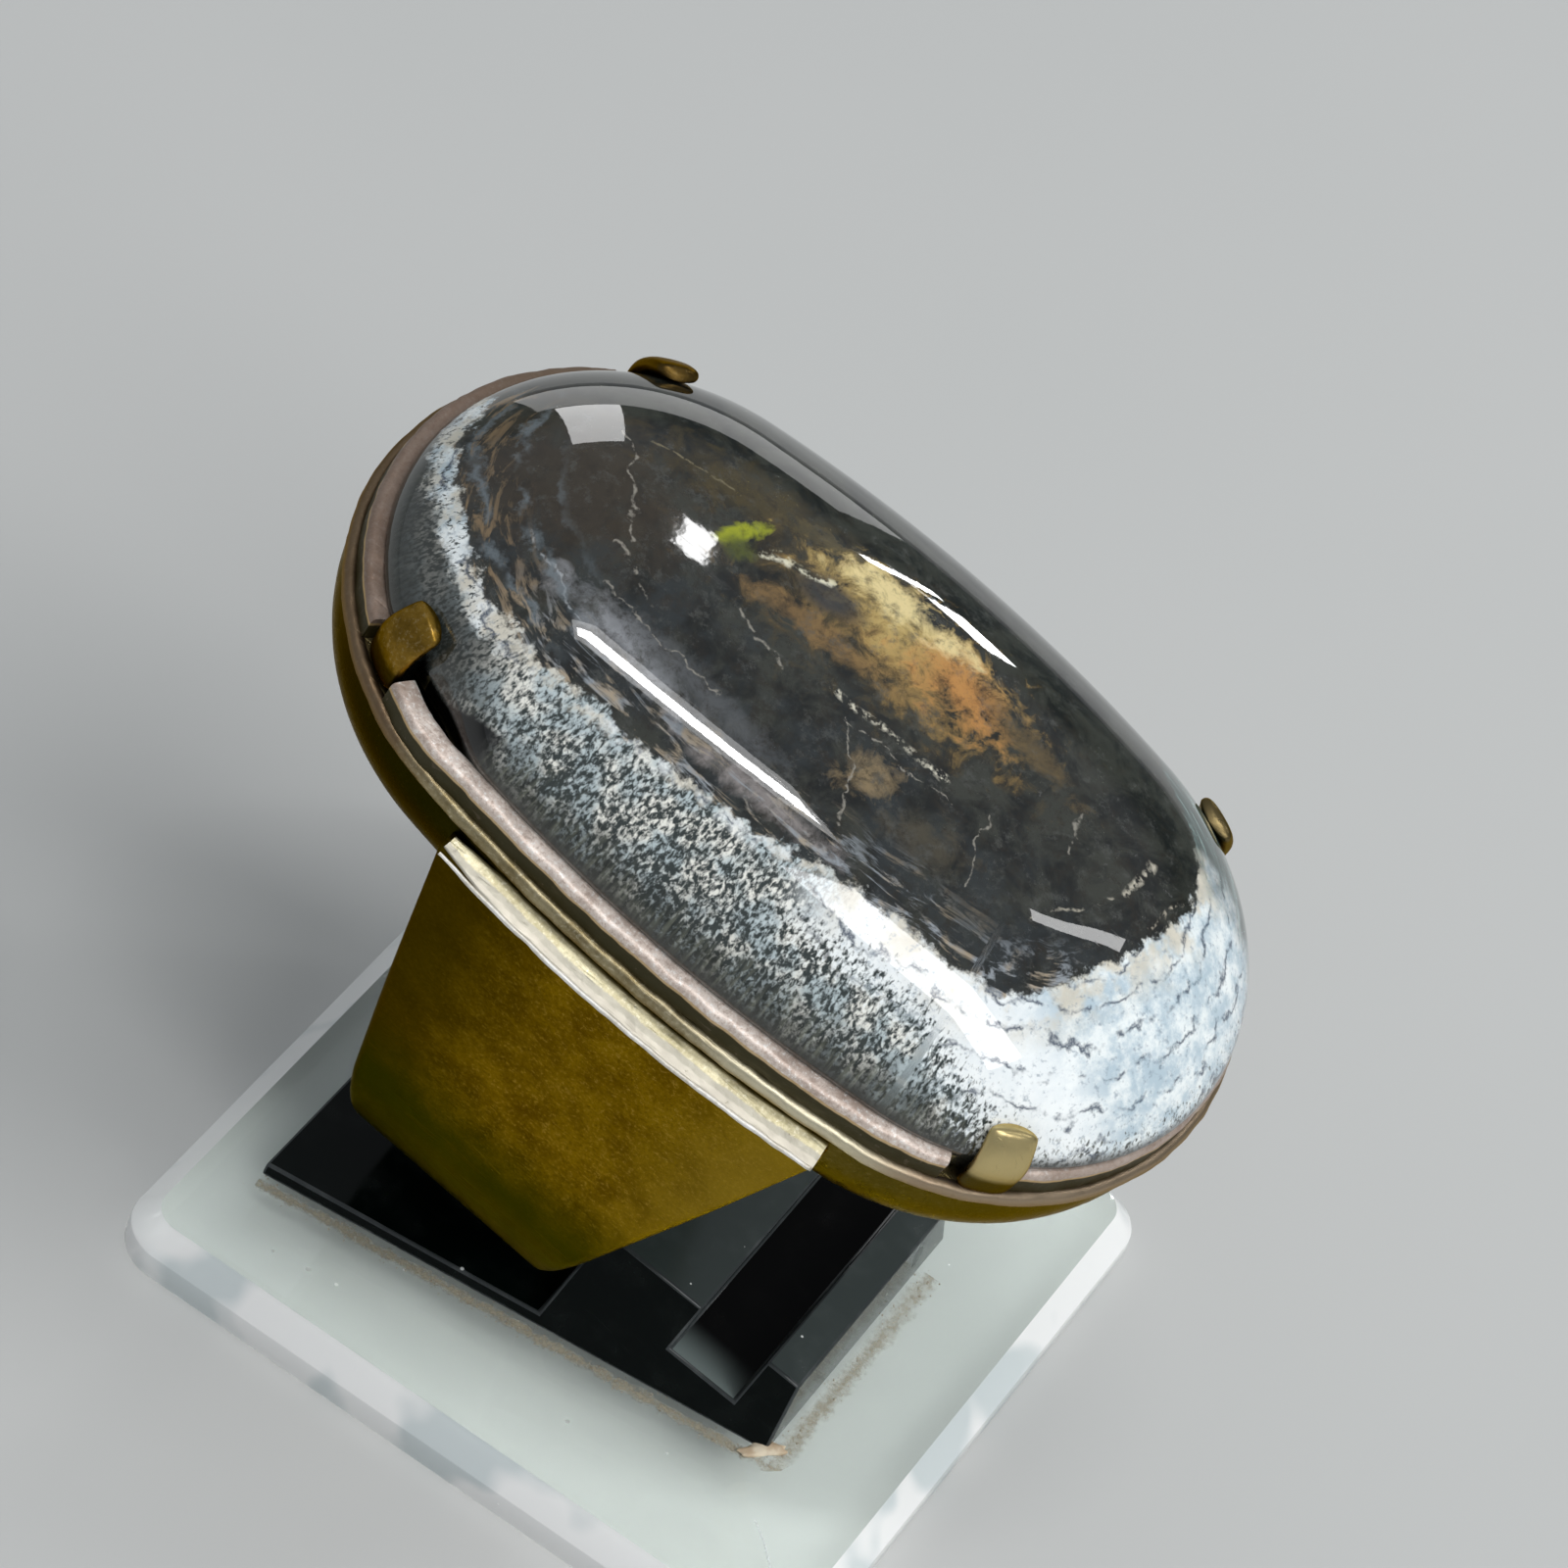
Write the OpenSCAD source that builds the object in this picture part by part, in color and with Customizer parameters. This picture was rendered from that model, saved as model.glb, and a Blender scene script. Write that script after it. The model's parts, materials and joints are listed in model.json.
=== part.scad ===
// Agate ring on its display stand: an oval dome in a bezel cup, on a plate with a slotted block.
// Origin: centre of the plate's underside. +X along the finger hole, +Z up. Units: millimetres.

/* [Head of the ring] */
// length of the head across the ridge
head_len = 37; // [36:0.1:38]
// width of the head across the ridge
head_wid = 23.1; // [22.7:0.1:23.6]
// radius of the head's round ends
end_r = 10.9; // [10.7:0.1:11.1]
// height of the bezel rim over the ridge
rim_h = 1.3; // [1.2:0.05:1.4]
// depth of the cup below the ridge
cup_d = 5.3; // [5:0.1:5.4]

/* [Stone] */
// height of the dome's top over the ridge
dome_h = 6.3; // [5.8:0.1:6.8]
// how far the stone sits off centre towards +X
stone_shift = 0.24; // [0.2:0.02:0.26]
// clearance between stone and metal
stone_gap = 0.06; // [0.04:0.01:0.1]

/* [Shank] */
// radius of the finger hole
finger_r = 9.45; // [9.2:0.05:9.5]
// thickness of the band
band_t = 1.2; // [1.1:0.05:1.4]
// depth of the hole's centre below the ridge
hole_d = 14.8; // [14.75:0.05:14.9]

/* [Prongs] */
// angle of the prongs round the head's ends, measured from its length
prong_az = 54; // [51:1:57]
// width of a prong at its root
prong_w = 2.4; // [2.2:0.1:2.6]
// thickness of a prong
prong_t = 0.55; // [0.5:0.05:0.6]

/* [Stand] */
// side of the square plate
plate_w = 30; // [29:0.5:32]
// thickness of the plate
plate_t = 2.1; // [1.9:0.1:2.3]
// slant of the holder's top, falling towards +X
top_slant = 10; // [8:0.5:11]
// width of the holder's narrow slot
slot_w = 3.1; // [2.8:0.1:3.4]

/* [Ring on the stand] */
// height of the ridge's centre over the floor
ring_z = 28.55; // [28.5:0.05:28.8]
// forward lean of the ring, falling towards +X
ring_lean = 11.5; // [11.3:0.1:11.7]
// sideways roll of the ring
ring_roll = 6; // [5.5:0.5:6.5]

/* [Hidden] */
$fn = 96;
half_l = head_len / 2;
half_w = head_wid / 2;
// the dome's oval reaches a little further out than the rim
dome_in = 0.95;
dome_n = 14;
// the swept ovals start this far from the end arcs' centres, and a block fills their middle
core_in = 0.6;
core_x = 1.2;
core_y = 1.3;
// cup and cavity share the centre of their round corner
corner_r = 3.9;
wall_t = 0.9;
corner_x = end_r - 0.3 - corner_r;
corner_z = -cup_d + corner_r;
rim_in = end_r - 1.25;
rim_out = end_r - 0.42;
seat_r = rim_in - corner_x - stone_gap - 2 * stone_shift;
// each prong's end of the head, near or far side, angle, and last point of the dome's outline that it reaches
prongs = [[-1, -1, prong_az + 1, 3], [1, -1, prong_az + 1, 4], [-1, 1, prong_az + 1, 5], [1, 1, prong_az + 12, 3]];
// shank, seen along the finger hole
band_or = finger_r + band_t;
strip_y = half_w + 0.72;
strip_z = -1.3;
// holder, all heights over the floor
block_gap = 0.05;
block_z = plate_t + block_gap;
floor_z = block_z + 0.45;
block_l = -12;
block_r = 9.42;
wall_x = -0.2;
wall_z = 6.5;
slot_x = 4.74;
slot_d = 1.9;
foot_yaw = 6.9;
face_lean = 25;
foot_y = 8.3;

// offset of the side arcs' centre for an oval of half length a, half width b
function side_off(a, b, r) = (pow(a - r, 2) - pow(b - r, 2)) / (2 * (b - r));

// points of an arc, radius r about c
function arc(c, r, a0, a1, n) = [for (i = [0:n]) let (a = a0 + (a1 - a0) * i / n) [c[0] + r * cos(a), c[1] + r * sin(a)]];

// dome's outline from its foot to its flat middle, as distance from the end arc's centre and height
function dome_pts(n) = [for (i = [0:n]) let (a = 90 * i / n)
    [end_r - dome_in - 8.15 * (1 - pow(cos(a), 0.942)), rim_h + 0.2 + (dome_h - rim_h - 0.2) * pow(sin(a), 1.306)]];

// sweeps an outline along the two side arcs of an oval, and a little past their ends
module side_sweep(a, past = 0) {
    sy = side_off(a, half_w, end_r);
    from = atan2(sy, a - end_r) - past;
    for (s = [0, 180])
        rotate([0, 0, s])
            translate([0, -sy, 0])
                rotate_extrude(angle = 180 - 2 * from, start = from)
                    translate([half_w + sy - end_r, 0])
                        children();
}

// sweeps an outline round the two end arcs of an oval
module end_sweep(a) {
    span = atan2(side_off(a, half_w, end_r), a - end_r);
    for (s = [0, 180])
        rotate([0, 0, s])
            translate([a - end_r, 0, 0])
                rotate_extrude(angle = 2 * span, start = -span)
                    children();
}

module oval_sweep(a) {
    side_sweep(a)
        children();
    end_sweep(a)
        children();
}

// flat middle of a swept oval, from height z0 to z1
module oval_core(a, z0, z1) {
    reach = a - end_r + core_x;
    translate([-reach, -core_y, z0])
        cube([2 * reach, 2 * core_y, z1 - z0]);
}

// outline of the metal cup: floor, round corner, ridge and rim
module cup_outline() {
    lip = [[end_r - 0.3, -0.55], [end_r - 0.08, -0.4], [end_r, -0.15], [end_r - 0.1, 0.08], [end_r - 0.5, 0.12]];
    rim = [[rim_out, rim_h - 0.2], [rim_out - 0.12, rim_h - 0.05], [rim_in, rim_h]];
    inner = [[rim_in, corner_z]];
    outer_arc = arc([corner_x, corner_z], corner_r, -90, 0, 8);
    inner_arc = arc([corner_x, corner_z], corner_r - wall_t, 0, -90, 7);
    polygon(concat([[core_in, -cup_d]], outer_arc, lip, rim, inner, inner_arc, [[core_in, -cup_d + wall_t]]));
}

// solid that fills the cup to the middle of its wall, to trim the shank
module cup_core_outline() {
    core_arc = arc([corner_x, corner_z], corner_r - wall_t / 2, -90, 0, 8);
    polygon(concat([[core_in, -cup_d + wall_t / 2]], core_arc, [[corner_x + corner_r - wall_t / 2, 3], [core_in, 3]]));
}

// outline of the stone: rounded underside, seat inside the rim, dome
module stone_outline() {
    under = arc([corner_x, corner_z], seat_r, -90, 0, 7);
    seat_top = [corner_x + seat_r, rim_h + 0.1];
    polygon(concat([[core_in, corner_z - seat_r]], under, [seat_top], dome_pts(dome_n), [[core_in, dome_h]]));
}

// outside of the shank: a circle with straight shoulders up to the strip
module shank_side(r, top_y, top_z) {
    reach = sqrt(top_y * top_y + pow(top_z + hole_d, 2));
    tan_a = atan2(top_z + hole_d, top_y) - acos(r / reach);
    ty = r * cos(tan_a);
    tz = -hole_d + r * sin(tan_a);
    translate([0, -hole_d])
        circle(r = r);
    polygon([[-ty, tz], [ty, tz], [top_y, top_z], [-top_y, top_z]]);
}

// outline of the shank from the near side: wide at the cup, narrow below
module shank_front() {
    left = [[-7.7, -1.2], [-6.35, -10.9], [-5.55, -16.5], [-4.95, -20], [-4.2, -23], [-3.6, -28]];
    right = [[3.6, -28], [4, -23], [4.6, -20], [5.4, -16.5], [6.75, -10.9], [9.2, -1.2]];
    polygon(concat(left, right));
}

module shank() {
    sy = side_off(half_l, half_w, end_r);
    difference() {
        intersection() {
            rotate([90, 0, 90])
                translate([0, 0, -12])
                    linear_extrude(24)
                        shank_side(band_or, strip_y, strip_z);
            rotate([90, 0, 0])
                translate([0, 0, -14])
                    linear_extrude(28)
                        shank_front();
            translate([0, sy, -30])
                cylinder(h = 40, r = sy + strip_y);
            translate([0, -sy, -30])
                cylinder(h = 40, r = sy + strip_y);
        }
        // the finger hole, with straight sides up to the shoulders
        rotate([90, 0, 90])
            translate([0, 0, -13])
                linear_extrude(26)
                    shank_side(finger_r, strip_y - band_t - 0.35, -4.4);
        // the inside of the cup
        translate([-13, -8, -6])
            cube([26, 16, 8]);
        side_sweep(half_l, 2)
            cup_core_outline();
    }
}

// gap in the rim that a prong comes up through
module rim_gap(side, up, az) {
    gap_w = prong_w + 0.5;
    translate([side * (half_l - end_r), 0, 0])
        rotate([0, 0, side > 0 ? up * az : 180 - up * az])
            translate([rim_in - 1.5, -gap_w / 2, 0.2])
                cube([4, gap_w, 3]);
}

// a prong: a strip that follows the dome's outline, narrowed towards its tip
module prong(side, up, az, tip) {
    ex = half_l - end_r + stone_shift * (1 + side);
    pts = dome_pts(dome_n);
    near_r = rim_in - stone_shift + 0.05;
    far_r = rim_out - stone_shift * (1 + side) - 0.02;
    inner = [for (i = [0:tip]) [pts[i][0] + stone_gap + 0.02, pts[i][1] + (i > 2 ? stone_gap + 0.02 : 0)]];
    outer = [for (i = [tip:-1:0]) [pts[i][0] + prong_t * (1.1 - 0.09 * i), pts[i][1] + prong_t * 0.16 * i]];
    translate([side * ex, 0, 0])
        rotate([0, 0, side > 0 ? up * az : 180 - up * az])
            intersection() {
                rotate_extrude(angle = 30, start = -15)
                    polygon(concat([[near_r, 0], [near_r, rim_h]], inner, outer, [[far_r, rim_h], [far_r, 0]]));
                translate([0, 0, -1])
                    linear_extrude(8)
                        polygon([[end_r, -prong_w / 2], [end_r, prong_w / 2], [rim_in + 0.2, prong_w / 2],
                            [end_r - 2.2, 0.7], [end_r - 3, 0.3], [end_r - 3, -0.3], [end_r - 2.2, -0.7], [rim_in + 0.2, -prong_w / 2]]);
            }
}

module setting() {
    color([0.62, 0.5, 0.32])
        on_stand()
            union() {
                oval_core(half_l, -cup_d, -cup_d + wall_t);
                difference() {
                    oval_sweep(half_l)
                        cup_outline();
                    for (p = prongs)
                        rim_gap(p[0], p[1], p[2]);
                }
                shank();
                for (p = prongs)
                    prong(p[0], p[1], p[2], p[3]);
            }
}

module stone() {
    color([0.3, 0.27, 0.25])
        on_stand()
            translate([stone_shift, 0, 0]) {
                oval_core(half_l + stone_shift, corner_z - seat_r, dome_h);
                oval_sweep(half_l + stone_shift)
                    stone_outline();
            }
}

// places what is drawn about the ridge's centre on the stand
module on_stand() {
    translate([-0.7, -3.05, ring_z])
        rotate([ring_roll, ring_lean, 0.7])
            children();
}

module stand_base() {
    bevel_w = 0.95;
    bevel_h = 1;
    corner = 2;
    low_h = plate_t - bevel_h;
    run = plate_w - 2 * corner;
    color([0.85, 0.92, 0.88, 0.5])
        union() {
            for (s = [0, 90])
                rotate([0, 0, s])
                    rotate([90, 0, 0])
                        translate([0, 0, -run / 2])
                            linear_extrude(run)
                                polygon([[-plate_w / 2, 0], [plate_w / 2, 0], [plate_w / 2, low_h],
                                    [plate_w / 2 - bevel_w, plate_t], [bevel_w - plate_w / 2, plate_t], [-plate_w / 2, low_h]]);
            for (x = [-1, 1], y = [-1, 1])
                translate([x * run / 2, y * run / 2, 0]) {
                    cylinder(h = low_h, r = corner);
                    translate([0, 0, low_h])
                        cylinder(h = bevel_h, r1 = corner, r2 = corner - bevel_w);
                }
        }
}

// side view of the holder: low floor, tall wall, narrow slot, second wall
module holder_side() {
    fall = tan(top_slant);
    deep = [-slot_d * sin(top_slant), -slot_d * cos(top_slant)];
    slot_l = [slot_x, wall_z - fall * (slot_x - wall_x)];
    slot_rx = slot_x + slot_w * cos(top_slant);
    slot_r = [slot_rx, wall_z - fall * (slot_rx - wall_x)];
    end_z = wall_z - fall * (block_r - 0.15 - wall_x);
    polygon([[block_l, block_z], [block_r, block_z], [block_r - 0.15, end_z], slot_r, slot_r + deep, slot_l + deep, slot_l,
        [wall_x + 0.45, wall_z - 0.45 * fall], [wall_x - 0.22, floor_z], [block_l, floor_z]]);
}

module stand_block() {
    mid_x = (block_l + block_r) / 2;
    color([0.05, 0.05, 0.06])
        intersection() {
            rotate([90, 0, 0])
                translate([0, 0, -14])
                    linear_extrude(28)
                        holder_side();
            // leaning near and far faces on a foot line that is turned a little
            intersection_for(s = [0, 1])
                mirror([0, s, 0])
                    translate([mid_x, -foot_y, block_z])
                        rotate([0, 0, foot_yaw])
                            rotate([-face_lean, 0, 0])
                                translate([-20, 0, -10])
                                    cube([40, 40, 40]);
        }
}

setting();
stone();
stand_base();
stand_block();
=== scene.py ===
"""Looks of an agate ring on its display stand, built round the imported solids.

All lengths in the classes are millimetres. Pieces of the ring are drawn in the ring's own frame, whose origin
is the middle of the ridge round the head, and are then placed on the stand.
"""

import json
import logging
import math
from dataclasses import asdict, dataclass, field, replace
from enum import Enum
from functools import reduce
from typing import Sequence, Tuple, Union

import bmesh
import bpy
import numpy as np
from mathutils import Matrix, Vector

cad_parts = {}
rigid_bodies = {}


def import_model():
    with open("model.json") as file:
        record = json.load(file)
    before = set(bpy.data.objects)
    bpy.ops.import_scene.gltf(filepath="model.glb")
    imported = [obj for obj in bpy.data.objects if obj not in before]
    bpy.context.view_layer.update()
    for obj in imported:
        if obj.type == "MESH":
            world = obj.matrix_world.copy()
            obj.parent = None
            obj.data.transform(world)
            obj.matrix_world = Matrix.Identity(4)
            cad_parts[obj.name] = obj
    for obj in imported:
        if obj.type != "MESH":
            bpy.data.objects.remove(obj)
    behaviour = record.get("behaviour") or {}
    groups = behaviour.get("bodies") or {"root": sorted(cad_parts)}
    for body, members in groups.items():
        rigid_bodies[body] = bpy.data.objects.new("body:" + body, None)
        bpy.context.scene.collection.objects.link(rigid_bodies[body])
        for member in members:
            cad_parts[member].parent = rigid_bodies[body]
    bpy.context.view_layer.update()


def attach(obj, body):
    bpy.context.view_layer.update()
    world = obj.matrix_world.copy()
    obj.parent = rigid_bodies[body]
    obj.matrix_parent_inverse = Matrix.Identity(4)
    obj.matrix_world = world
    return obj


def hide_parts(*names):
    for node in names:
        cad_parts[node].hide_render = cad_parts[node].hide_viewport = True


LOG = logging.getLogger("agate_ring")
MM = 0.001
BODY = "root"
STONE_NAME = "agate_stone"
# names of what the meshes carry for the finishes
RING_POS = "ring_pos"
SKIN = "skin"
CORE_EDGE = "core_edge"

Flat = Tuple[float, float]
Place = Tuple[float, float, float]
Colour = Tuple[float, float, float]
Socket = bpy.types.NodeSocket
Value = Union[Socket, float]


class Part(Enum):
    """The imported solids, each with its material slot."""

    SETTING = ("setting", "ring_metal")
    STONE = ("stone", "agate")
    BASE = ("stand_base", "clear_plastic")
    BLOCK = ("stand_block", "black_plastic")

    @property
    def on_ring(self) -> bool:
        """Whether its pieces are drawn in the ring's frame."""
        return self in (Part.SETTING, Part.STONE)


# Frames and ovals


@dataclass(frozen=True)
class RingPose:
    """Where the ring leans on the stand."""

    origin: Place = (-0.7, -3.05, 28.55)
    roll: float = 6.0
    lean: float = 11.5
    turn: float = 0.7

    def place(self, points: np.ndarray) -> np.ndarray:
        """Moves points from the ring's frame to the stand's.

        Args:
            points: rows of x, y, z in millimetres.

        Returns:
            The same rows in the stand's frame, in millimetres.
        """
        angles = (self.roll, self.lean, self.turn)
        roll, lean, turn = (Matrix.Rotation(math.radians(a), 3, axis) for a, axis in zip(angles, "XYZ"))
        return points @ np.array(turn @ lean @ roll).T + np.array(self.origin)


@dataclass(frozen=True)
class Oval:
    """An oval of four arcs. Its inset copies share the arcs' centres."""

    half_l: float = 18.5
    half_w: float = 11.55
    end_r: float = 10.9

    @property
    def end_x(self) -> float:
        """Distance of an end arc's centre from the middle."""
        return self.half_l - self.end_r

    @property
    def side_y(self) -> float:
        """Distance of a side arc's centre from the middle."""
        k = self.half_w - self.end_r
        return (self.end_x**2 - k**2) / (2 * k)

    @property
    def side_r(self) -> float:
        """Radius of a side arc."""
        return self.half_w + self.side_y

    @property
    def span(self) -> float:
        """Half of an end arc's angle."""
        return math.atan2(self.side_y, self.end_x)

    def stations(self, count: int) -> np.ndarray:
        """Splits the outline into steps of about equal length, mirrored about both axes.

        Args:
            count: steps all the way round, a multiple of four.

        Returns:
            Rows of centre x and y, extra radius over the end arc's, direction angle and length run so far.
        """
        end_span, side_span = 2 * self.span, math.pi - 2 * self.span
        end_len, side_len = end_span * self.end_r, side_span * self.side_r
        n_end = 2 * max(2, round(count / 2 * end_len / (end_len + side_len) / 2))
        n_side = count // 2 - n_end
        arcs = (
            (n_end, -self.span, end_span, self.end_x, 0.0, 0.0, end_len),
            (n_side, self.span, side_span, 0.0, -self.side_y, self.side_r - self.end_r, side_len),
        )
        rows, run = [], 0.0
        for half, flip in ((0, 1), (1, -1)):
            for n, start, sweep, x, y, extra, length in arcs:
                for i in range(n):
                    rows.append((flip * x, flip * y, extra, start + sweep * i / n + math.pi * half, run))
                    run += length / n
        return np.array(rows)

    @staticmethod
    def end_steps(stations: np.ndarray) -> int:
        """Number of steps in one end arc."""
        return int(np.sum(stations[: len(stations) // 2, 2] == 0))

    @staticmethod
    def ring(stations: np.ndarray, r: float) -> np.ndarray:
        """Points of the copy of the oval whose end arcs have radius r.

        Args:
            stations: what stations() gave.
            r: end radius.

        Returns:
            Rows of x and y.
        """
        x, y, extra, angle = stations.T[:4]
        return np.stack([x + (r + extra) * np.cos(angle), y + (r + extra) * np.sin(angle)], 1)


# Meshes


def turn_outwards(mesh: bpy.types.Mesh, merge: bool = False) -> None:
    """Turns the faces of a mesh outwards.

    Args:
        mesh: the mesh, in millimetres.
        merge: whether its doubles are merged first.
    """
    bm = bmesh.new()
    bm.from_mesh(mesh)
    if merge:
        bmesh.ops.remove_doubles(bm, verts=bm.verts, dist=1e-4)
    bmesh.ops.recalc_face_normals(bm, faces=bm.faces)
    bm.to_mesh(mesh)
    bm.free()


def new_mesh(name: str, verts: np.ndarray, faces: Sequence[Sequence[int]]) -> bpy.types.Mesh:
    """Makes a mesh from points, with its doubles merged and its faces outwards.

    Args:
        name: the mesh's name.
        verts: rows of x, y, z in millimetres.
        faces: vertex numbers of each face.

    Returns:
        The mesh, in millimetres.
    """
    mesh = bpy.data.meshes.new(name)
    mesh.from_pydata([tuple(v) for v in verts], [], [tuple(f) for f in faces])
    turn_outwards(mesh, merge=True)
    return mesh


def loft(rings: Sequence[np.ndarray]) -> Tuple[np.ndarray, list]:
    """Joins closed rings of equal length into one skin.

    Args:
        rings: arrays of points.

    Returns:
        All points, and the quads between neighbouring rings.
    """
    n = len(rings[0])
    faces = []
    for k in range(len(rings) - 1):
        for i in range(n):
            j = (i + 1) % n
            faces.append((k * n + i, k * n + j, (k + 1) * n + j, (k + 1) * n + i))
    return np.vstack(rings), faces


def capped_loft(name: str, rings: Sequence[np.ndarray]) -> bpy.types.Mesh:
    """Makes a closed mesh through rings, with one face over each end.

    Args:
        name: the mesh's name.
        rings: arrays of points, closed and of equal length.

    Returns:
        The mesh.
    """
    verts, faces = loft(rings)
    n = len(rings[0])
    faces += [tuple(range(n)), tuple(range(len(verts) - n, len(verts)))]
    return new_mesh(name, verts, faces)


def mirror_caps(total: int, n: int, end_steps: int) -> list:
    """Closes the first and the last ring of a loft round an oval, with strips from side to side.

    Args:
        total: points in the loft.
        n: points in a ring, the first at the start of the right end arc.
        end_steps: steps in an end arc.

    Returns:
        The strips' faces.
    """
    # points at equal steps from the middle of the right end mirror each other
    mid = end_steps // 2
    faces = []
    for start in (0, total - n):
        for k in range(n // 2):
            quad = [start + (mid + step) % n for step in (k, k + 1, -k - 1, -k)]
            face = tuple(dict.fromkeys(quad))
            if len(face) > 2:
                faces.append(face)
    return faces


def path_mesh(paths: Sequence[Sequence[Place]], closed: bool = False) -> bpy.types.Mesh:
    """Makes a mesh of edges along some paths.

    Args:
        paths: the points of each path, in millimetres.
        closed: whether each path closes on itself.

    Returns:
        The mesh.
    """
    verts, edges = [], []
    for path in paths:
        base, n = len(verts), len(path)
        verts += [tuple(p) for p in path]
        edges += [(base + i, base + (i + 1) % n) for i in range(n if closed else n - 1)]
    mesh = bpy.data.meshes.new("path")
    mesh.from_pydata(verts, edges, [])
    return mesh


def coordinates(mesh: bpy.types.Mesh) -> np.ndarray:
    """Reads the points of a mesh.

    Args:
        mesh: the mesh.

    Returns:
        Rows of x, y, z.
    """
    co = np.empty(len(mesh.vertices) * 3)
    mesh.vertices.foreach_get("co", co)
    return co.reshape(-1, 3)


def carry(mesh: bpy.types.Mesh, name: str, rows: np.ndarray) -> None:
    """Keeps a number or a vector on each point of a mesh.

    Args:
        mesh: the mesh.
        name: the attribute's name.
        rows: one number or three for each point.
    """
    kind, key = ("FLOAT", "value") if rows.ndim == 1 else ("FLOAT_VECTOR", "vector")
    mesh.attributes.new(name, kind, "POINT").data.foreach_set(key, rows.ravel())


@dataclass
class PieceMaker:
    """Turns finished meshes into objects that ride on the stand's body."""

    pose: RingPose = field(default_factory=RingPose)

    def add(
        self, name: str, mesh: bpy.types.Mesh, material: bpy.types.Material, part: Part, smooth: float = 60.0
    ) -> bpy.types.Object:
        """Args:
            name: the piece's name.
            mesh: its mesh in millimetres.
            material: its finish.
            part: the solid it stands for.
            smooth: largest angle in degrees that is shaded smooth.

        Returns:
            The object.
        """
        co = coordinates(mesh)
        if part.on_ring:
            carry(mesh, RING_POS, co)
            co = self.pose.place(co)
        mesh.vertices.foreach_set("co", (co * MM).ravel())
        mesh.materials.clear()
        mesh.materials.append(material)
        mesh.update()
        obj = bpy.data.objects.new(name, mesh)
        bpy.context.scene.collection.objects.link(obj)
        mesh.shade_smooth()
        mesh.set_sharp_from_angle(angle=math.radians(smooth))
        node, slot = part.value
        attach(obj, BODY)
        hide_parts(node)
        LOG.info("%s: %d faces", name, len(mesh.polygons))
        return obj


# Node trees


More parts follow.
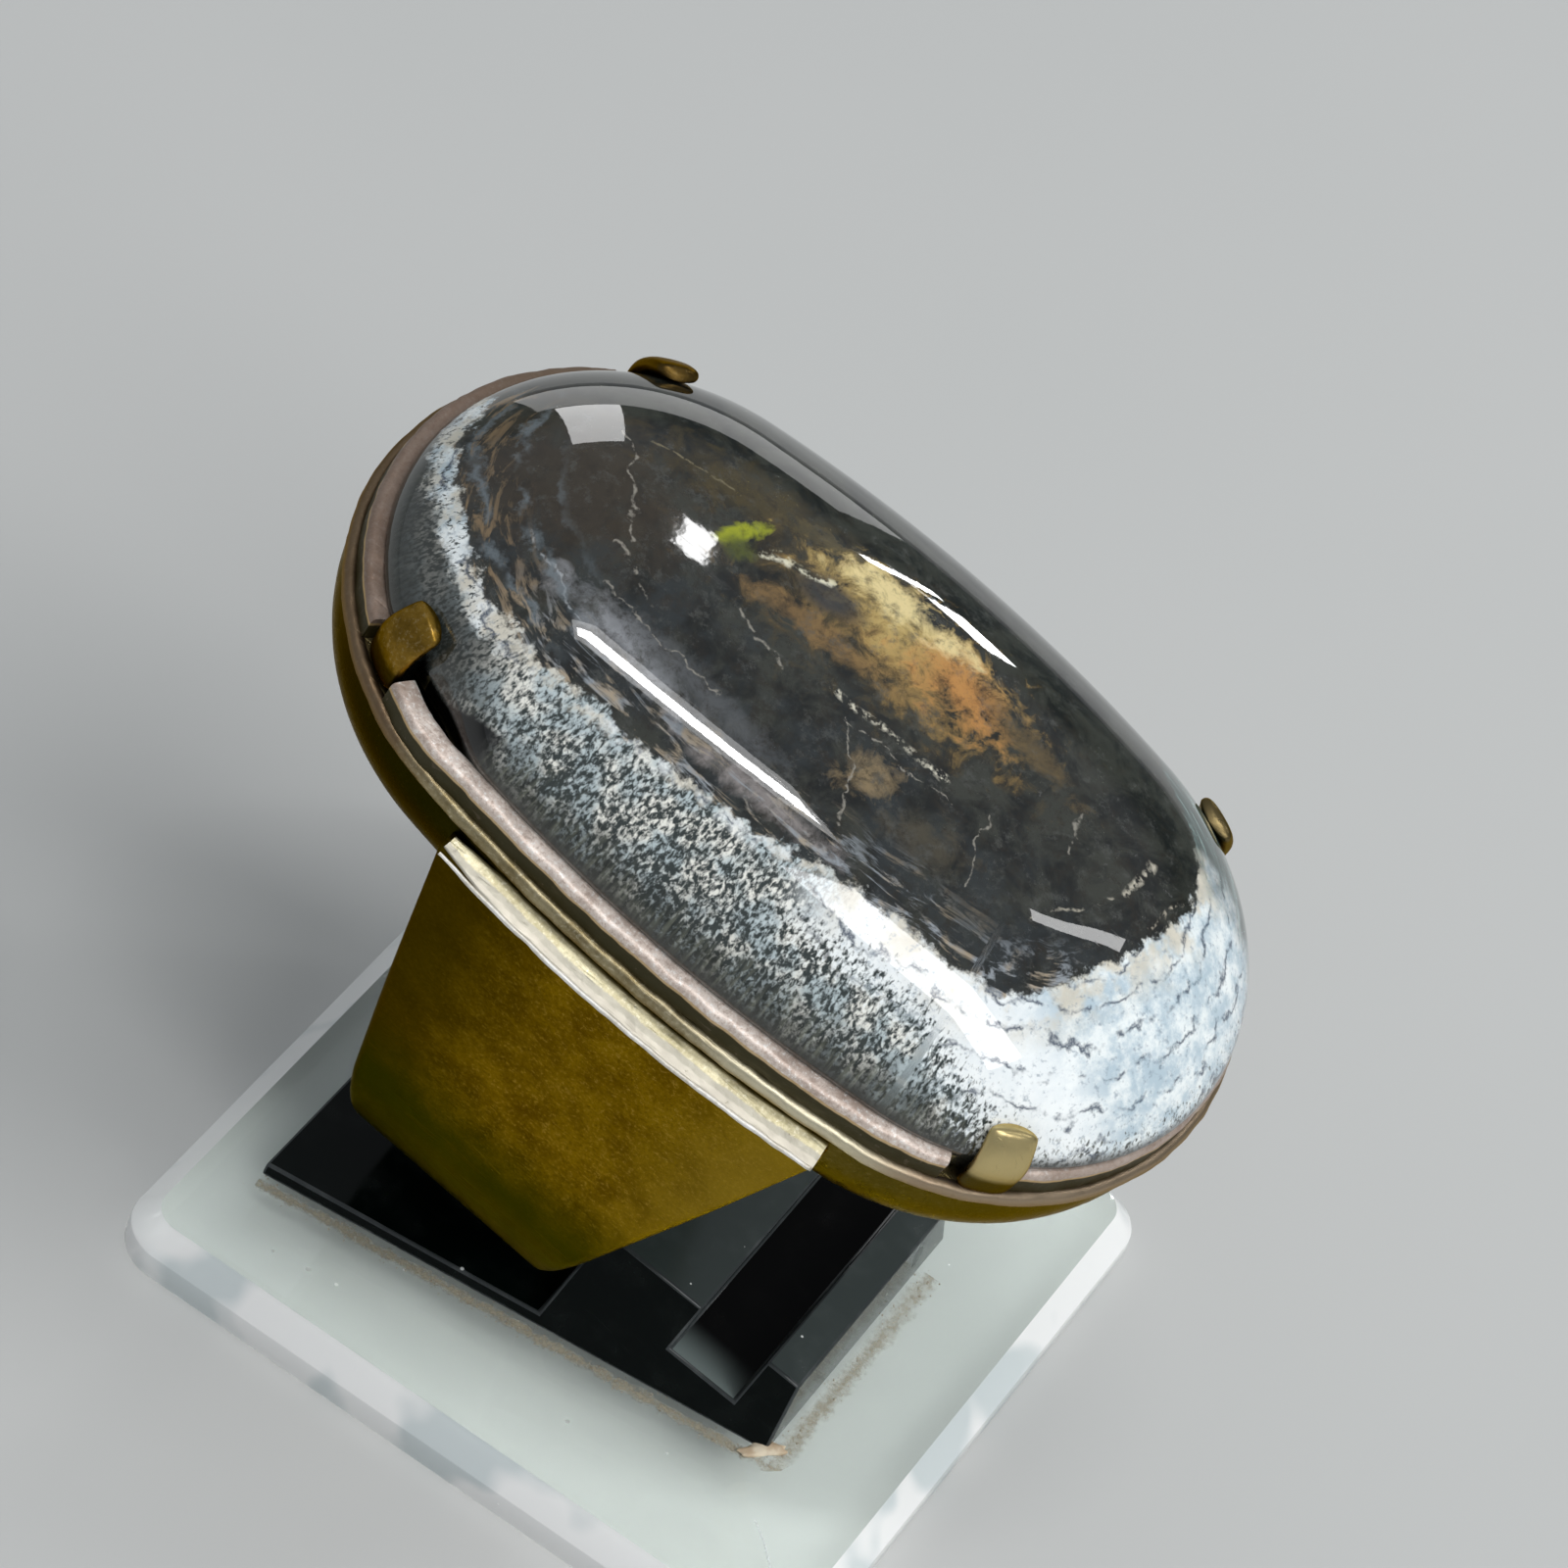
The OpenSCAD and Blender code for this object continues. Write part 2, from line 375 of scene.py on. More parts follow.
class Sketch:
    """Short way of writing node trees."""

    def __init__(self, tree: bpy.types.NodeTree) -> None:
        """Starts a sketch in a tree."""
        self.tree = tree

    def node(self, kind: str, inputs: dict | None = None, **props: object) -> bpy.types.Node:
        """Adds a node.

        Args:
            kind: the node's type name.
            inputs: values or sockets by input name or number.
            props: properties of the node.

        Returns:
            The node.
        """
        n = self.tree.nodes.new(kind)
        for key, value in props.items():
            setattr(n, key, value)
        for key, value in (inputs or {}).items():
            self.put(n.inputs[key], value)
        return n

    def put(self, socket: Socket, value: object) -> None:
        """Gives a socket a value, or a link where the value is a socket.

        Args:
            socket: an input.
            value: what it gets; a colour may leave out its alpha.
        """
        if isinstance(value, Socket):
            self.tree.links.new(value, socket)
        elif isinstance(value, tuple) and len(value) == 3 and socket.type == "RGBA":
            socket.default_value = (*value, 1.0)
        else:
            socket.default_value = value

    def math(self, op: str, a: Value, b: Value = 0.0, clamp: bool = False) -> Socket:
        """A Math node's result."""
        return self.node("ShaderNodeMath", {0: a, 1: b}, operation=op, use_clamp=clamp).outputs[0]

    def add(self, *values: Value) -> Socket:
        """The sum of some values."""
        return reduce(lambda a, b: self.math("ADD", a, b), values)

    def mul(self, *values: Value) -> Socket:
        """The product of some values."""
        return reduce(lambda a, b: self.math("MULTIPLY", a, b), values)

    def most(self, *values: Value) -> Socket:
        """The largest of some values."""
        return reduce(lambda a, b: self.math("MAXIMUM", a, b), values)

    def sub(self, a: Value, b: Value, clamp: bool = False) -> Socket:
        """The first value less the second."""
        return self.math("SUBTRACT", a, b, clamp)

    def sway(self, noise: Value, amount: Value) -> Socket:
        """A noise spread evenly to both sides of nought, times an amount."""
        return self.mul(self.sub(noise, 0.5), amount)

    def ramp(self, value: Value, low: float, high: float, smooth: bool = True) -> Socket:
        """A mask that goes from 0 at low to 1 at high.

        Args:
            value: what it follows.
            low: value where it is 0.
            high: value where it is 1, which may lie below low.
            smooth: whether it eases in and out.

        Returns:
            The mask.
        """
        kind = "SMOOTHSTEP" if smooth else "LINEAR"
        inputs = {"Value": value, "From Min": low, "From Max": high}
        return self.node("ShaderNodeMapRange", inputs, interpolation_type=kind).outputs["Result"]

    def mix(self, mask: Value, a: object, b: object) -> Socket:
        """Colour a where the mask is 0 and b where it is 1."""
        return self.node("ShaderNodeMix", {0: mask, 6: a, 7: b}, data_type="RGBA").outputs[2]

    def dye(self, colour: object, new: object, mask: Value, share: Value) -> Socket:
        """A colour with a new one over it, by a mask times a share."""
        return self.mix(self.mul(mask, share), colour, new)

    def noise(
        self, vector: Socket, scale: float, detail: float = 3.0, rough: float = 0.5, warp: float = 0.0
    ) -> Socket:
        """A noise's value."""
        inputs = {"Vector": vector, "Scale": scale, "Detail": detail, "Roughness": rough, "Distortion": warp}
        return self.node("ShaderNodeTexNoise", inputs).outputs["Fac"]

    def split(self, vector: Socket) -> Sequence[Socket]:
        """The three parts of a vector."""
        return self.node("ShaderNodeSeparateXYZ", {0: vector}).outputs

    def join(self, x: Value, y: Value, z: Value = 0.0) -> Socket:
        """A vector of three parts."""
        return self.node("ShaderNodeCombineXYZ", {0: x, 1: y, 2: z}).outputs[0]

    def vector(self, op: str, a: object, b: object) -> Socket:
        """A Vector Math node's vector."""
        return self.node("ShaderNodeVectorMath", {0: a, 1: b}, operation=op).outputs["Vector"]

    def scaled(self, a: object, factor: Value) -> Socket:
        """A vector times a number."""
        return self.node("ShaderNodeVectorMath", {0: a, "Scale": factor}, operation="SCALE").outputs["Vector"]

    def measure(self, op: str, a: object, b: object = (0.0, 0.0, 0.0)) -> Socket:
        """A Vector Math node's number: a length, a distance or a dot product."""
        return self.node("ShaderNodeVectorMath", {0: a, 1: b}, operation=op).outputs["Value"]

    def group(self, tree: bpy.types.NodeTree, inputs: dict) -> bpy.types.Node:
        """Places a shared group."""
        return self.node("ShaderNodeGroup", inputs, node_tree=tree)


class GroupSketch(Sketch):
    """A shader node group in the making, with named inputs and outputs."""

    def __init__(self, name: str, inputs: dict[str, str], outputs: Sequence[str]) -> None:
        """Starts the group.

        Args:
            name: the group's name.
            inputs: socket kinds by input name.
            outputs: names of the numbers that it gives.
        """
        super().__init__(bpy.data.node_groups.new(name, "ShaderNodeTree"))
        for key, kind in inputs.items():
            self.tree.interface.new_socket(key, in_out="INPUT", socket_type="NodeSocket" + kind)
        for key in outputs:
            self.tree.interface.new_socket(key, in_out="OUTPUT", socket_type="NodeSocketFloat")
        self.given = self.node("NodeGroupInput").outputs
        self.gives = self.node("NodeGroupOutput").inputs


@dataclass(frozen=True)
class SharedGroups:
    """Effects that several finishes use."""

    wear: bpy.types.NodeTree
    dust: bpy.types.NodeTree

    @staticmethod
    def build() -> "SharedGroups":
        """Makes the groups."""
        return SharedGroups(wear=SharedGroups.make_wear(), dust=SharedGroups.make_dust())

    @staticmethod
    def make_wear() -> bpy.types.NodeTree:
        """Fine scratches and pits as a mask and a height."""
        inputs = {"Vector": "Vector", "Scratch": "Float", "Pits": "Float"}
        s = GroupSketch("wear", inputs, ("Mask", "Height"))
        place = s.given["Vector"]
        lines = []
        for turn, seed in ((0.5, 0.0), (2.1, 7.0)):
            settings = {
                "Vector": place, "Rotation": (0.3, 0.2, turn), "Location": (seed, seed, 0),
                "Scale": (0.35, 9.0, 2.0),
            }
            stretched = s.node("ShaderNodeMapping", settings).outputs[0]
            lines.append(s.ramp(s.noise(stretched, 1.0, 2.0), 0.66, 0.72))
        scratches = s.mul(s.most(*lines), s.given["Scratch"])
        cell = s.node("ShaderNodeTexVoronoi", {"Vector": place, "Scale": 2.6})
        pit = s.mul(s.ramp(cell.outputs["Distance"], 0.16, 0.06), s.ramp(s.noise(place, 1.7), 0.5, 0.62))
        marks = s.most(scratches, s.mul(pit, s.given["Pits"]))
        s.put(s.gives["Mask"], marks)
        s.put(s.gives["Height"], s.sub(1.0, marks))
        return s.tree

    @staticmethod
    def make_dust() -> bpy.types.NodeTree:
        """Loose specks as a mask."""
        s = GroupSketch("dust", {"Vector": "Vector", "Scale": "Float", "Share": "Float"}, ("Mask",))
        grid = {"Vector": s.given["Vector"], "Scale": s.given["Scale"], "Randomness": 1.0}
        cell = s.node("ShaderNodeTexVoronoi", grid)
        chance, size, _ = s.node("ShaderNodeSeparateColor", {0: cell.outputs["Color"]}).outputs
        keep = s.math("LESS_THAN", chance, s.given["Share"])
        dot = s.math("LESS_THAN", cell.outputs["Distance"], s.mul(size, 0.16))
        s.put(s.gives["Mask"], s.mul(keep, dot))
        return s.tree


class Paint(Sketch):
    """A node material in the making."""

    def __init__(self, name: str) -> None:
        """Starts an empty material."""
        self.material = bpy.data.materials.new(name)
        self.material.use_nodes = True
        self.material.node_tree.nodes.clear()
        super().__init__(self.material.node_tree)

    def ring_place(self) -> Socket:
        """The place on the ring, in millimetres of its own frame."""
        return self.node("ShaderNodeAttribute", attribute_name=RING_POS).outputs["Vector"]

    def stand_place(self) -> Socket:
        """The place on the stand, in millimetres."""
        return self.scaled(self.node("ShaderNodeTexCoord").outputs["Object"], 1 / MM)

    def bump(self, height: Value, depth: float, strength: float) -> Socket:
        """A Bump node's normal, depth in millimetres."""
        inputs = {"Height": height, "Strength": strength, "Distance": depth * MM}
        return self.node("ShaderNodeBump", inputs).outputs[0]

    def finish(self, inputs: dict) -> bpy.types.Material:
        """Ends the tree in its shader.

        Args:
            inputs: values or sockets of the Principled shader, by name.

        Returns:
            The material.
        """
        shader = self.node("ShaderNodeBsdfPrincipled", inputs)
        self.node("ShaderNodeOutputMaterial", {"Surface": shader.outputs[0]})
        return self.material


# Finishes


class Along(Enum):
    """What a tint's place is measured along."""

    LENGTH = 0
    WIDTH = 1
    HEIGHT = 2
    INWARD = 3


@dataclass(frozen=True)
class Tint:
    """A change of colour, from none at start to its share at end."""

    along: Along
    start: float
    end: float
    colour: Colour
    share: float = 1.0
    rag: float = 0.5


@dataclass(frozen=True)
class MetalFinish:
    """Brass of the ring, from bright rubbed edges to brown tarnish. Several of its tints paint light and
    shade: lighter where the light falls on the right, darker to the left and low down.
    """

    name: str
    body: Colour
    dark: Colour
    bright: Colour
    rough: float
    hammer: float = 0.0
    fleck: float = 0.4
    metallic: float = 1.0
    glance: Colour = (0.7, 0.55, 0.32)
    tints: Tuple[Tint, ...] = ()
    scratch: float = 0.25
    pits: float = 0.5

    @staticmethod
    def inset(s: Sketch, x: Socket, y: Socket) -> Socket:
        """Distance in from the head's outline.

        Args:
            s: the tree's sketch.
            x: place along the head.
            y: place across it.

        Returns:
            Millimetres, below nought outside.
        """
        oval = Oval()
        x, y = s.math("ABSOLUTE", x), s.math("ABSOLUTE", y)
        deep = s.add(y, oval.side_y)
        from_side = s.sub(oval.side_r, s.measure("LENGTH", s.join(x, deep)))
        from_end = s.sub(oval.end_r, s.measure("LENGTH", s.join(s.sub(x, oval.end_x), y)))
        past = s.sub(s.mul(x, oval.side_y), s.mul(deep, oval.end_x))
        by_end = s.math("GREATER_THAN", past, 0.0)
        return s.node("ShaderNodeMix", {0: by_end, 2: from_side, 3: from_end}, data_type="FLOAT").outputs[0]

    def build(self, shared: SharedGroups) -> bpy.types.Material:
        """Makes the material.

        Args:
            shared: effects in common.

        Returns:
            The material.
        """
        s = Paint(self.name)
        v = s.ring_place()
        x, y, z = s.split(v)
        places = {Along.LENGTH: x, Along.WIDTH: y, Along.HEIGHT: z, Along.INWARD: self.inset(s, x, y)}
        cloud = s.noise(v, 0.55, 8.0, 0.74)
        grain = s.noise(v, 6.0, 5.0, 0.75)
        colour = s.mix(s.ramp(cloud, 0.3, 0.66), self.dark, self.body)
        colour = s.dye(colour, self.bright, s.ramp(grain, 0.52, 0.66), self.fleck)
        colour = s.dye(colour, self.dark, s.ramp(grain, 0.48, 0.36), self.fleck)
        for t in self.tints:
            place = s.add(places[t.along], s.sway(cloud, t.rag * abs(t.end - t.start)))
            colour = s.dye(colour, t.colour, s.ramp(place, t.start, t.end), t.share)
        wear = s.group(shared.wear, {"Vector": v, "Scratch": self.scratch, "Pits": self.pits})
        colour = s.dye(colour, self.dark, wear.outputs["Mask"], 0.5)
        height = s.add(s.mul(wear.outputs["Height"], 0.7), s.mul(grain, 0.3))
        if self.hammer:
            height = s.add(height, s.mul(s.noise(v, 2.4, 2.0, 0.4), self.hammer))
        return s.finish({
            "Base Color": colour,
            "Roughness": s.add(self.rough - 0.1, s.mul(s.noise(v, 2.2, 4.0), 0.22)),
            "Metallic": self.metallic,
            "Specular Tint": self.glance,
            "Normal": s.bump(height, 0.04, 0.6),
        })


SHANK_BRASS = MetalFinish(
    "shank_brass", (0.27, 0.165, 0.009), (0.12, 0.068, 0.004), (0.46, 0.3, 0.07), rough=0.36, fleck=0.65,
    tints=(
        # painted shade: the left of the shank darker, away from the light
        Tint(Along.LENGTH, 0.0, -6.0, (0.035, 0.027, 0.001), 0.88),
        # painted light: the right of the shank lighter, towards the light
        Tint(Along.LENGTH, 3.0, 9.0, (0.34, 0.235, 0.035), 0.7),
        # painted reflection and shade: dark green towards the bottom of the shank
        Tint(Along.HEIGHT, -10.5, -16.5, (0.018, 0.034, 0.001), 0.92),
    ),
)
CUP_BRASS = MetalFinish(
    "cup_brass", (0.12, 0.09, 0.018), (0.06, 0.05, 0.01), (0.3, 0.24, 0.1), rough=0.28,
    tints=(
        # painted shade and dark reflection: the cup's left end near black
        Tint(Along.LENGTH, 0.0, -9.0, (0.006, 0.011, 0.002), 0.93),
        # painted light: the cup's right end lighter, towards the light
        Tint(Along.LENGTH, 6.0, 14.0, (0.13, 0.1, 0.024), 0.6),
        Tint(Along.HEIGHT, -0.66, -0.5, (0.24, 0.19, 0.085), 0.95),
    ),
)
RIM_METAL = MetalFinish(
    "rim_metal", (0.9, 0.79, 0.71), (0.46, 0.35, 0.29), (1.0, 0.98, 0.95), rough=0.48, hammer=1.4,
    fleck=0.75, metallic=0.5, glance=(0.95, 0.9, 0.86),
    tints=(
        Tint(Along.INWARD, 1.0, 1.1, (0.95, 0.94, 0.88), 0.75, 4.0),
        Tint(Along.LENGTH, -11.0, -15.0, (0.2, 0.13, 0.09), 0.85),
        Tint(Along.LENGTH, 13.5, 16.5, (0.34, 0.25, 0.2), 0.7),
        Tint(Along.WIDTH, 1.0, 6.0, (0.16, 0.11, 0.07), 0.75),
        Tint(Along.HEIGHT, 1.0, 0.94, (0.62, 0.42, 0.17), 0.8, 2.0),
        Tint(Along.HEIGHT, 0.88, 0.8, (0.04, 0.034, 0.009), 1.0, 1.0),
    ),
)
RIDGE_METAL = MetalFinish(
    "ridge_metal", (0.42, 0.36, 0.22), (0.22, 0.17, 0.08), (0.85, 0.78, 0.58), rough=0.4, hammer=0.8,
    fleck=0.35,
    tints=(
        # painted highlight: the ridge paler and creamier towards the lit right
        Tint(Along.LENGTH, 0.0, 7.0, (0.86, 0.8, 0.6), 0.7),
        Tint(Along.LENGTH, 9.0, 12.5, (0.34, 0.24, 0.16), 0.85),
        Tint(Along.LENGTH, -8.0, -12.5, (0.2, 0.13, 0.08), 0.85),
    ),
)
PRONG_BRASS = MetalFinish(
    "prong_brass", (0.34, 0.2, 0.032), (0.14, 0.08, 0.012), (0.9, 0.72, 0.4), rough=0.3, hammer=0.5,
    fleck=0.2,
    tints=(
        # painted highlight: the prongs at the right end lighter, where the light falls
        Tint(Along.LENGTH, 4.0, 12.0, (0.66, 0.54, 0.27), 0.85),
        Tint(Along.WIDTH, 1.0, 6.0, (0.05, 0.032, 0.012), 0.8),
        # painted shadow: the prongs' roots dark low down, where they meet the cup
        Tint(Along.HEIGHT, 1.7, 1.0, (0.02, 0.016, 0.003), 0.9),
    ),
)
LEDGE_WEAR_AND_SHADE = MetalFinish(
    "worn_edge", (0.74, 0.68, 0.47), (0.42, 0.37, 0.22), (0.92, 0.88, 0.72), rough=0.4, hammer=1.0,
    fleck=0.6, metallic=0.75, glance=(0.95, 0.93, 0.85),
    tints=(
        Tint(Along.INWARD, -0.12, -0.2, (0.4, 0.38, 0.33), 0.85, 5.0),
        Tint(Along.INWARD, -0.35, -0.41, (0.56, 0.52, 0.44), 0.9, 6.0),
        # painted shadow: a brown-olive line along the ledge's inner side
        Tint(Along.INWARD, 0.16, 0.26, (0.2, 0.16, 0.05), 0.85, 3.0),
    ),
)
# painted highlight: a thin bead along the shoulder's outer edge, painted near white for the light that edge
# catches
PAINTED_HIGHLIGHT_BEAD = MetalFinish(
    "bright_edge", (1.0, 0.98, 0.94), (0.6, 0.54, 0.42), (1.0, 1.0, 1.0), rough=0.35, hammer=0.6,
    metallic=0.3, glance=(1.0, 1.0, 1.0),
)


@dataclass(frozen=True)
class ClearFinish:
    """Clear plastic of the plate, polished on top and bright on its sawn sides."""

    name: str
    tint: Colour = (0.93, 0.985, 0.96)
    grey: Colour = (0.5, 0.6, 0.62)
    speck: Colour = (0.95, 0.96, 0.93)
    frost: bool = False

    def build(self, shared: SharedGroups) -> bpy.types.Material:
        """Makes the material.

        Args:
            shared: effects in common.

        Returns:
            The material.
        """
        s = Paint(self.name)
        v = s.stand_place()
        wear = s.group(shared.wear, {"Vector": v, "Scratch": 0.12, "Pits": 0.1}).outputs
        specks = s.group(shared.dust, {"Vector": v, "Scale": 1.1, "Share": 0.1}).outputs["Mask"]
        colour = s.mix(specks, self.tint, self.speck)
        if self.frost:
            colour = s.dye(colour, self.grey, s.ramp(s.noise(v, 0.22, 2.0, 0.5), 0.5, 0.62), 0.6)
        # light passes through to the floor, so the shadow is as thin as a clear plate's
        shadow = s.node("ShaderNodeLightPath").outputs["Is Shadow Ray"]
        return s.finish({
            "Base Color": colour,
            "Roughness": s.add(0.16 if self.frost else 0.03, s.mul(s.most(wear["Mask"], specks), 0.5)),
            "IOR": 1.49,
            "Transmission Weight": 0.2 if self.frost else 1.0,
            "Alpha": s.sub(1.0, s.mul(shadow, 0.85)),
            "Normal": s.bump(wear["Height"], 0.01, 0.15),
        })


@dataclass(frozen=True)
class BlackFinish:
    """Glossy black plastic of the holder. Its copies paint light and shade: the default for the lit tops,
    darker ones for the sides and the slot, a lighter one for the edges.
    """

    name: str
    body: Colour = (0.028, 0.037, 0.035)
    film: Colour = (0.05, 0.062, 0.059)
    gloss: float = 0.35
    # painted light: a lit patch on the near end of the slot's floor
    lit_end: bool = False
    lit: Colour = (0.14, 0.17, 0.165)
    speck: Colour = (0.6, 0.62, 0.6)

    def build(self, shared: SharedGroups) -> bpy.types.Material:
        """Makes the material.

        Args:
            shared: effects in common.

        Returns:
            The material.
        """
        s = Paint(self.name)
        v = s.stand_place()
        specks = s.group(shared.dust, {"Vector": v, "Scale": 1.6, "Share": 0.1}).outputs["Mask"]
        film = s.ramp(s.noise(v, 0.6, 4.0), 0.45, 0.8)
        colour = s.dye(self.body, self.film, film, 0.5)
        if self.lit_end:
            colour = s.mix(s.ramp(s.split(v)[1], -4.8, -7.0), colour, self.lit)
        wear = s.group(shared.wear, {"Vector": v, "Scratch": 0.1, "Pits": 0.1}).outputs
        return s.finish({
            "Base Color": s.mix(specks, colour, self.speck),
            "Roughness": s.add(0.12, s.mul(s.most(film, wear["Mask"]), 0.22)),
            "Specular IOR Level": self.gloss,
            "Normal": s.bump(wear["Height"], 0.02, 0.4),
        })


@dataclass(frozen=True)
class MatteFinish:
    """A plain dull finish for dust, glue and a scratch."""

    name: str
    light: Colour
    dark: Colour

    def build(self) -> bpy.types.Material:
        """Makes the material.

        Returns:
            The material.
        """
        s = Paint(self.name)
        mottle = s.ramp(s.noise(s.stand_place(), 1.5, 4.0), 0.4, 0.62)
        return s.finish({"Base Color": s.mix(mottle, self.light, self.dark), "Roughness": 0.8})


@dataclass(frozen=True)
class FilmFinish:
    """A film of dust that thins out away from a bent line on the plate."""

    name: str
    colour: Colour = (0.42, 0.38, 0.28)
    near_y: float = -8.6
    near_slope: float = 0.117
    right_x: float = 10.02

    def build(self) -> bpy.types.Material:
        """Makes the material.

        Returns:
            The material.
        """
        s = Paint(self.name)
        v = s.stand_place()
        x, y, _ = s.split(v)
        rag = s.sway(s.noise(v, 1.6, 5.0, 0.7), 0.9)
        off_near = s.math("ABSOLUTE", s.sub(y, s.add(self.near_y, s.mul(x, self.near_slope))))
        off_right = s.math("ABSOLUTE", s.sub(x, self.right_x))
        near = s.ramp(s.add(off_near, rag), 0.32, 0.02)
        right = s.ramp(s.add(off_right, rag), 0.5, 0.0)
        mottle = s.add(0.35, s.mul(s.ramp(s.noise(v, 5.0, 4.0, 0.7), 0.4, 0.62), 0.5))
        return s.finish({
            "Base Color": self.colour,
            "Roughness": 0.9,
            "Alpha": s.mul(s.most(near, s.mul(right, 0.7)), mottle),
        })


@dataclass(frozen=True)
class Patch:
    """A soft-edged coloured patch on the dome, in plan. Most are the stone's own colours; a few paint a glint
    and the glow round a highlight.
    """

    x: float
    y: float
    half_x: float
    half_y: float
    turn: float
    colour: Colour
    soft: float
    rough: float
    share: float


@dataclass(frozen=True)
class Vein:
    """A thin pale line on the dome, in plan; two carry painted glare."""

    x0: float
    y0: float
    x1: float
    y1: float
    width: float
    wander: float = 2.2
    dots: float = 0.42
    colour: Colour = (0.3, 0.28, 0.24)


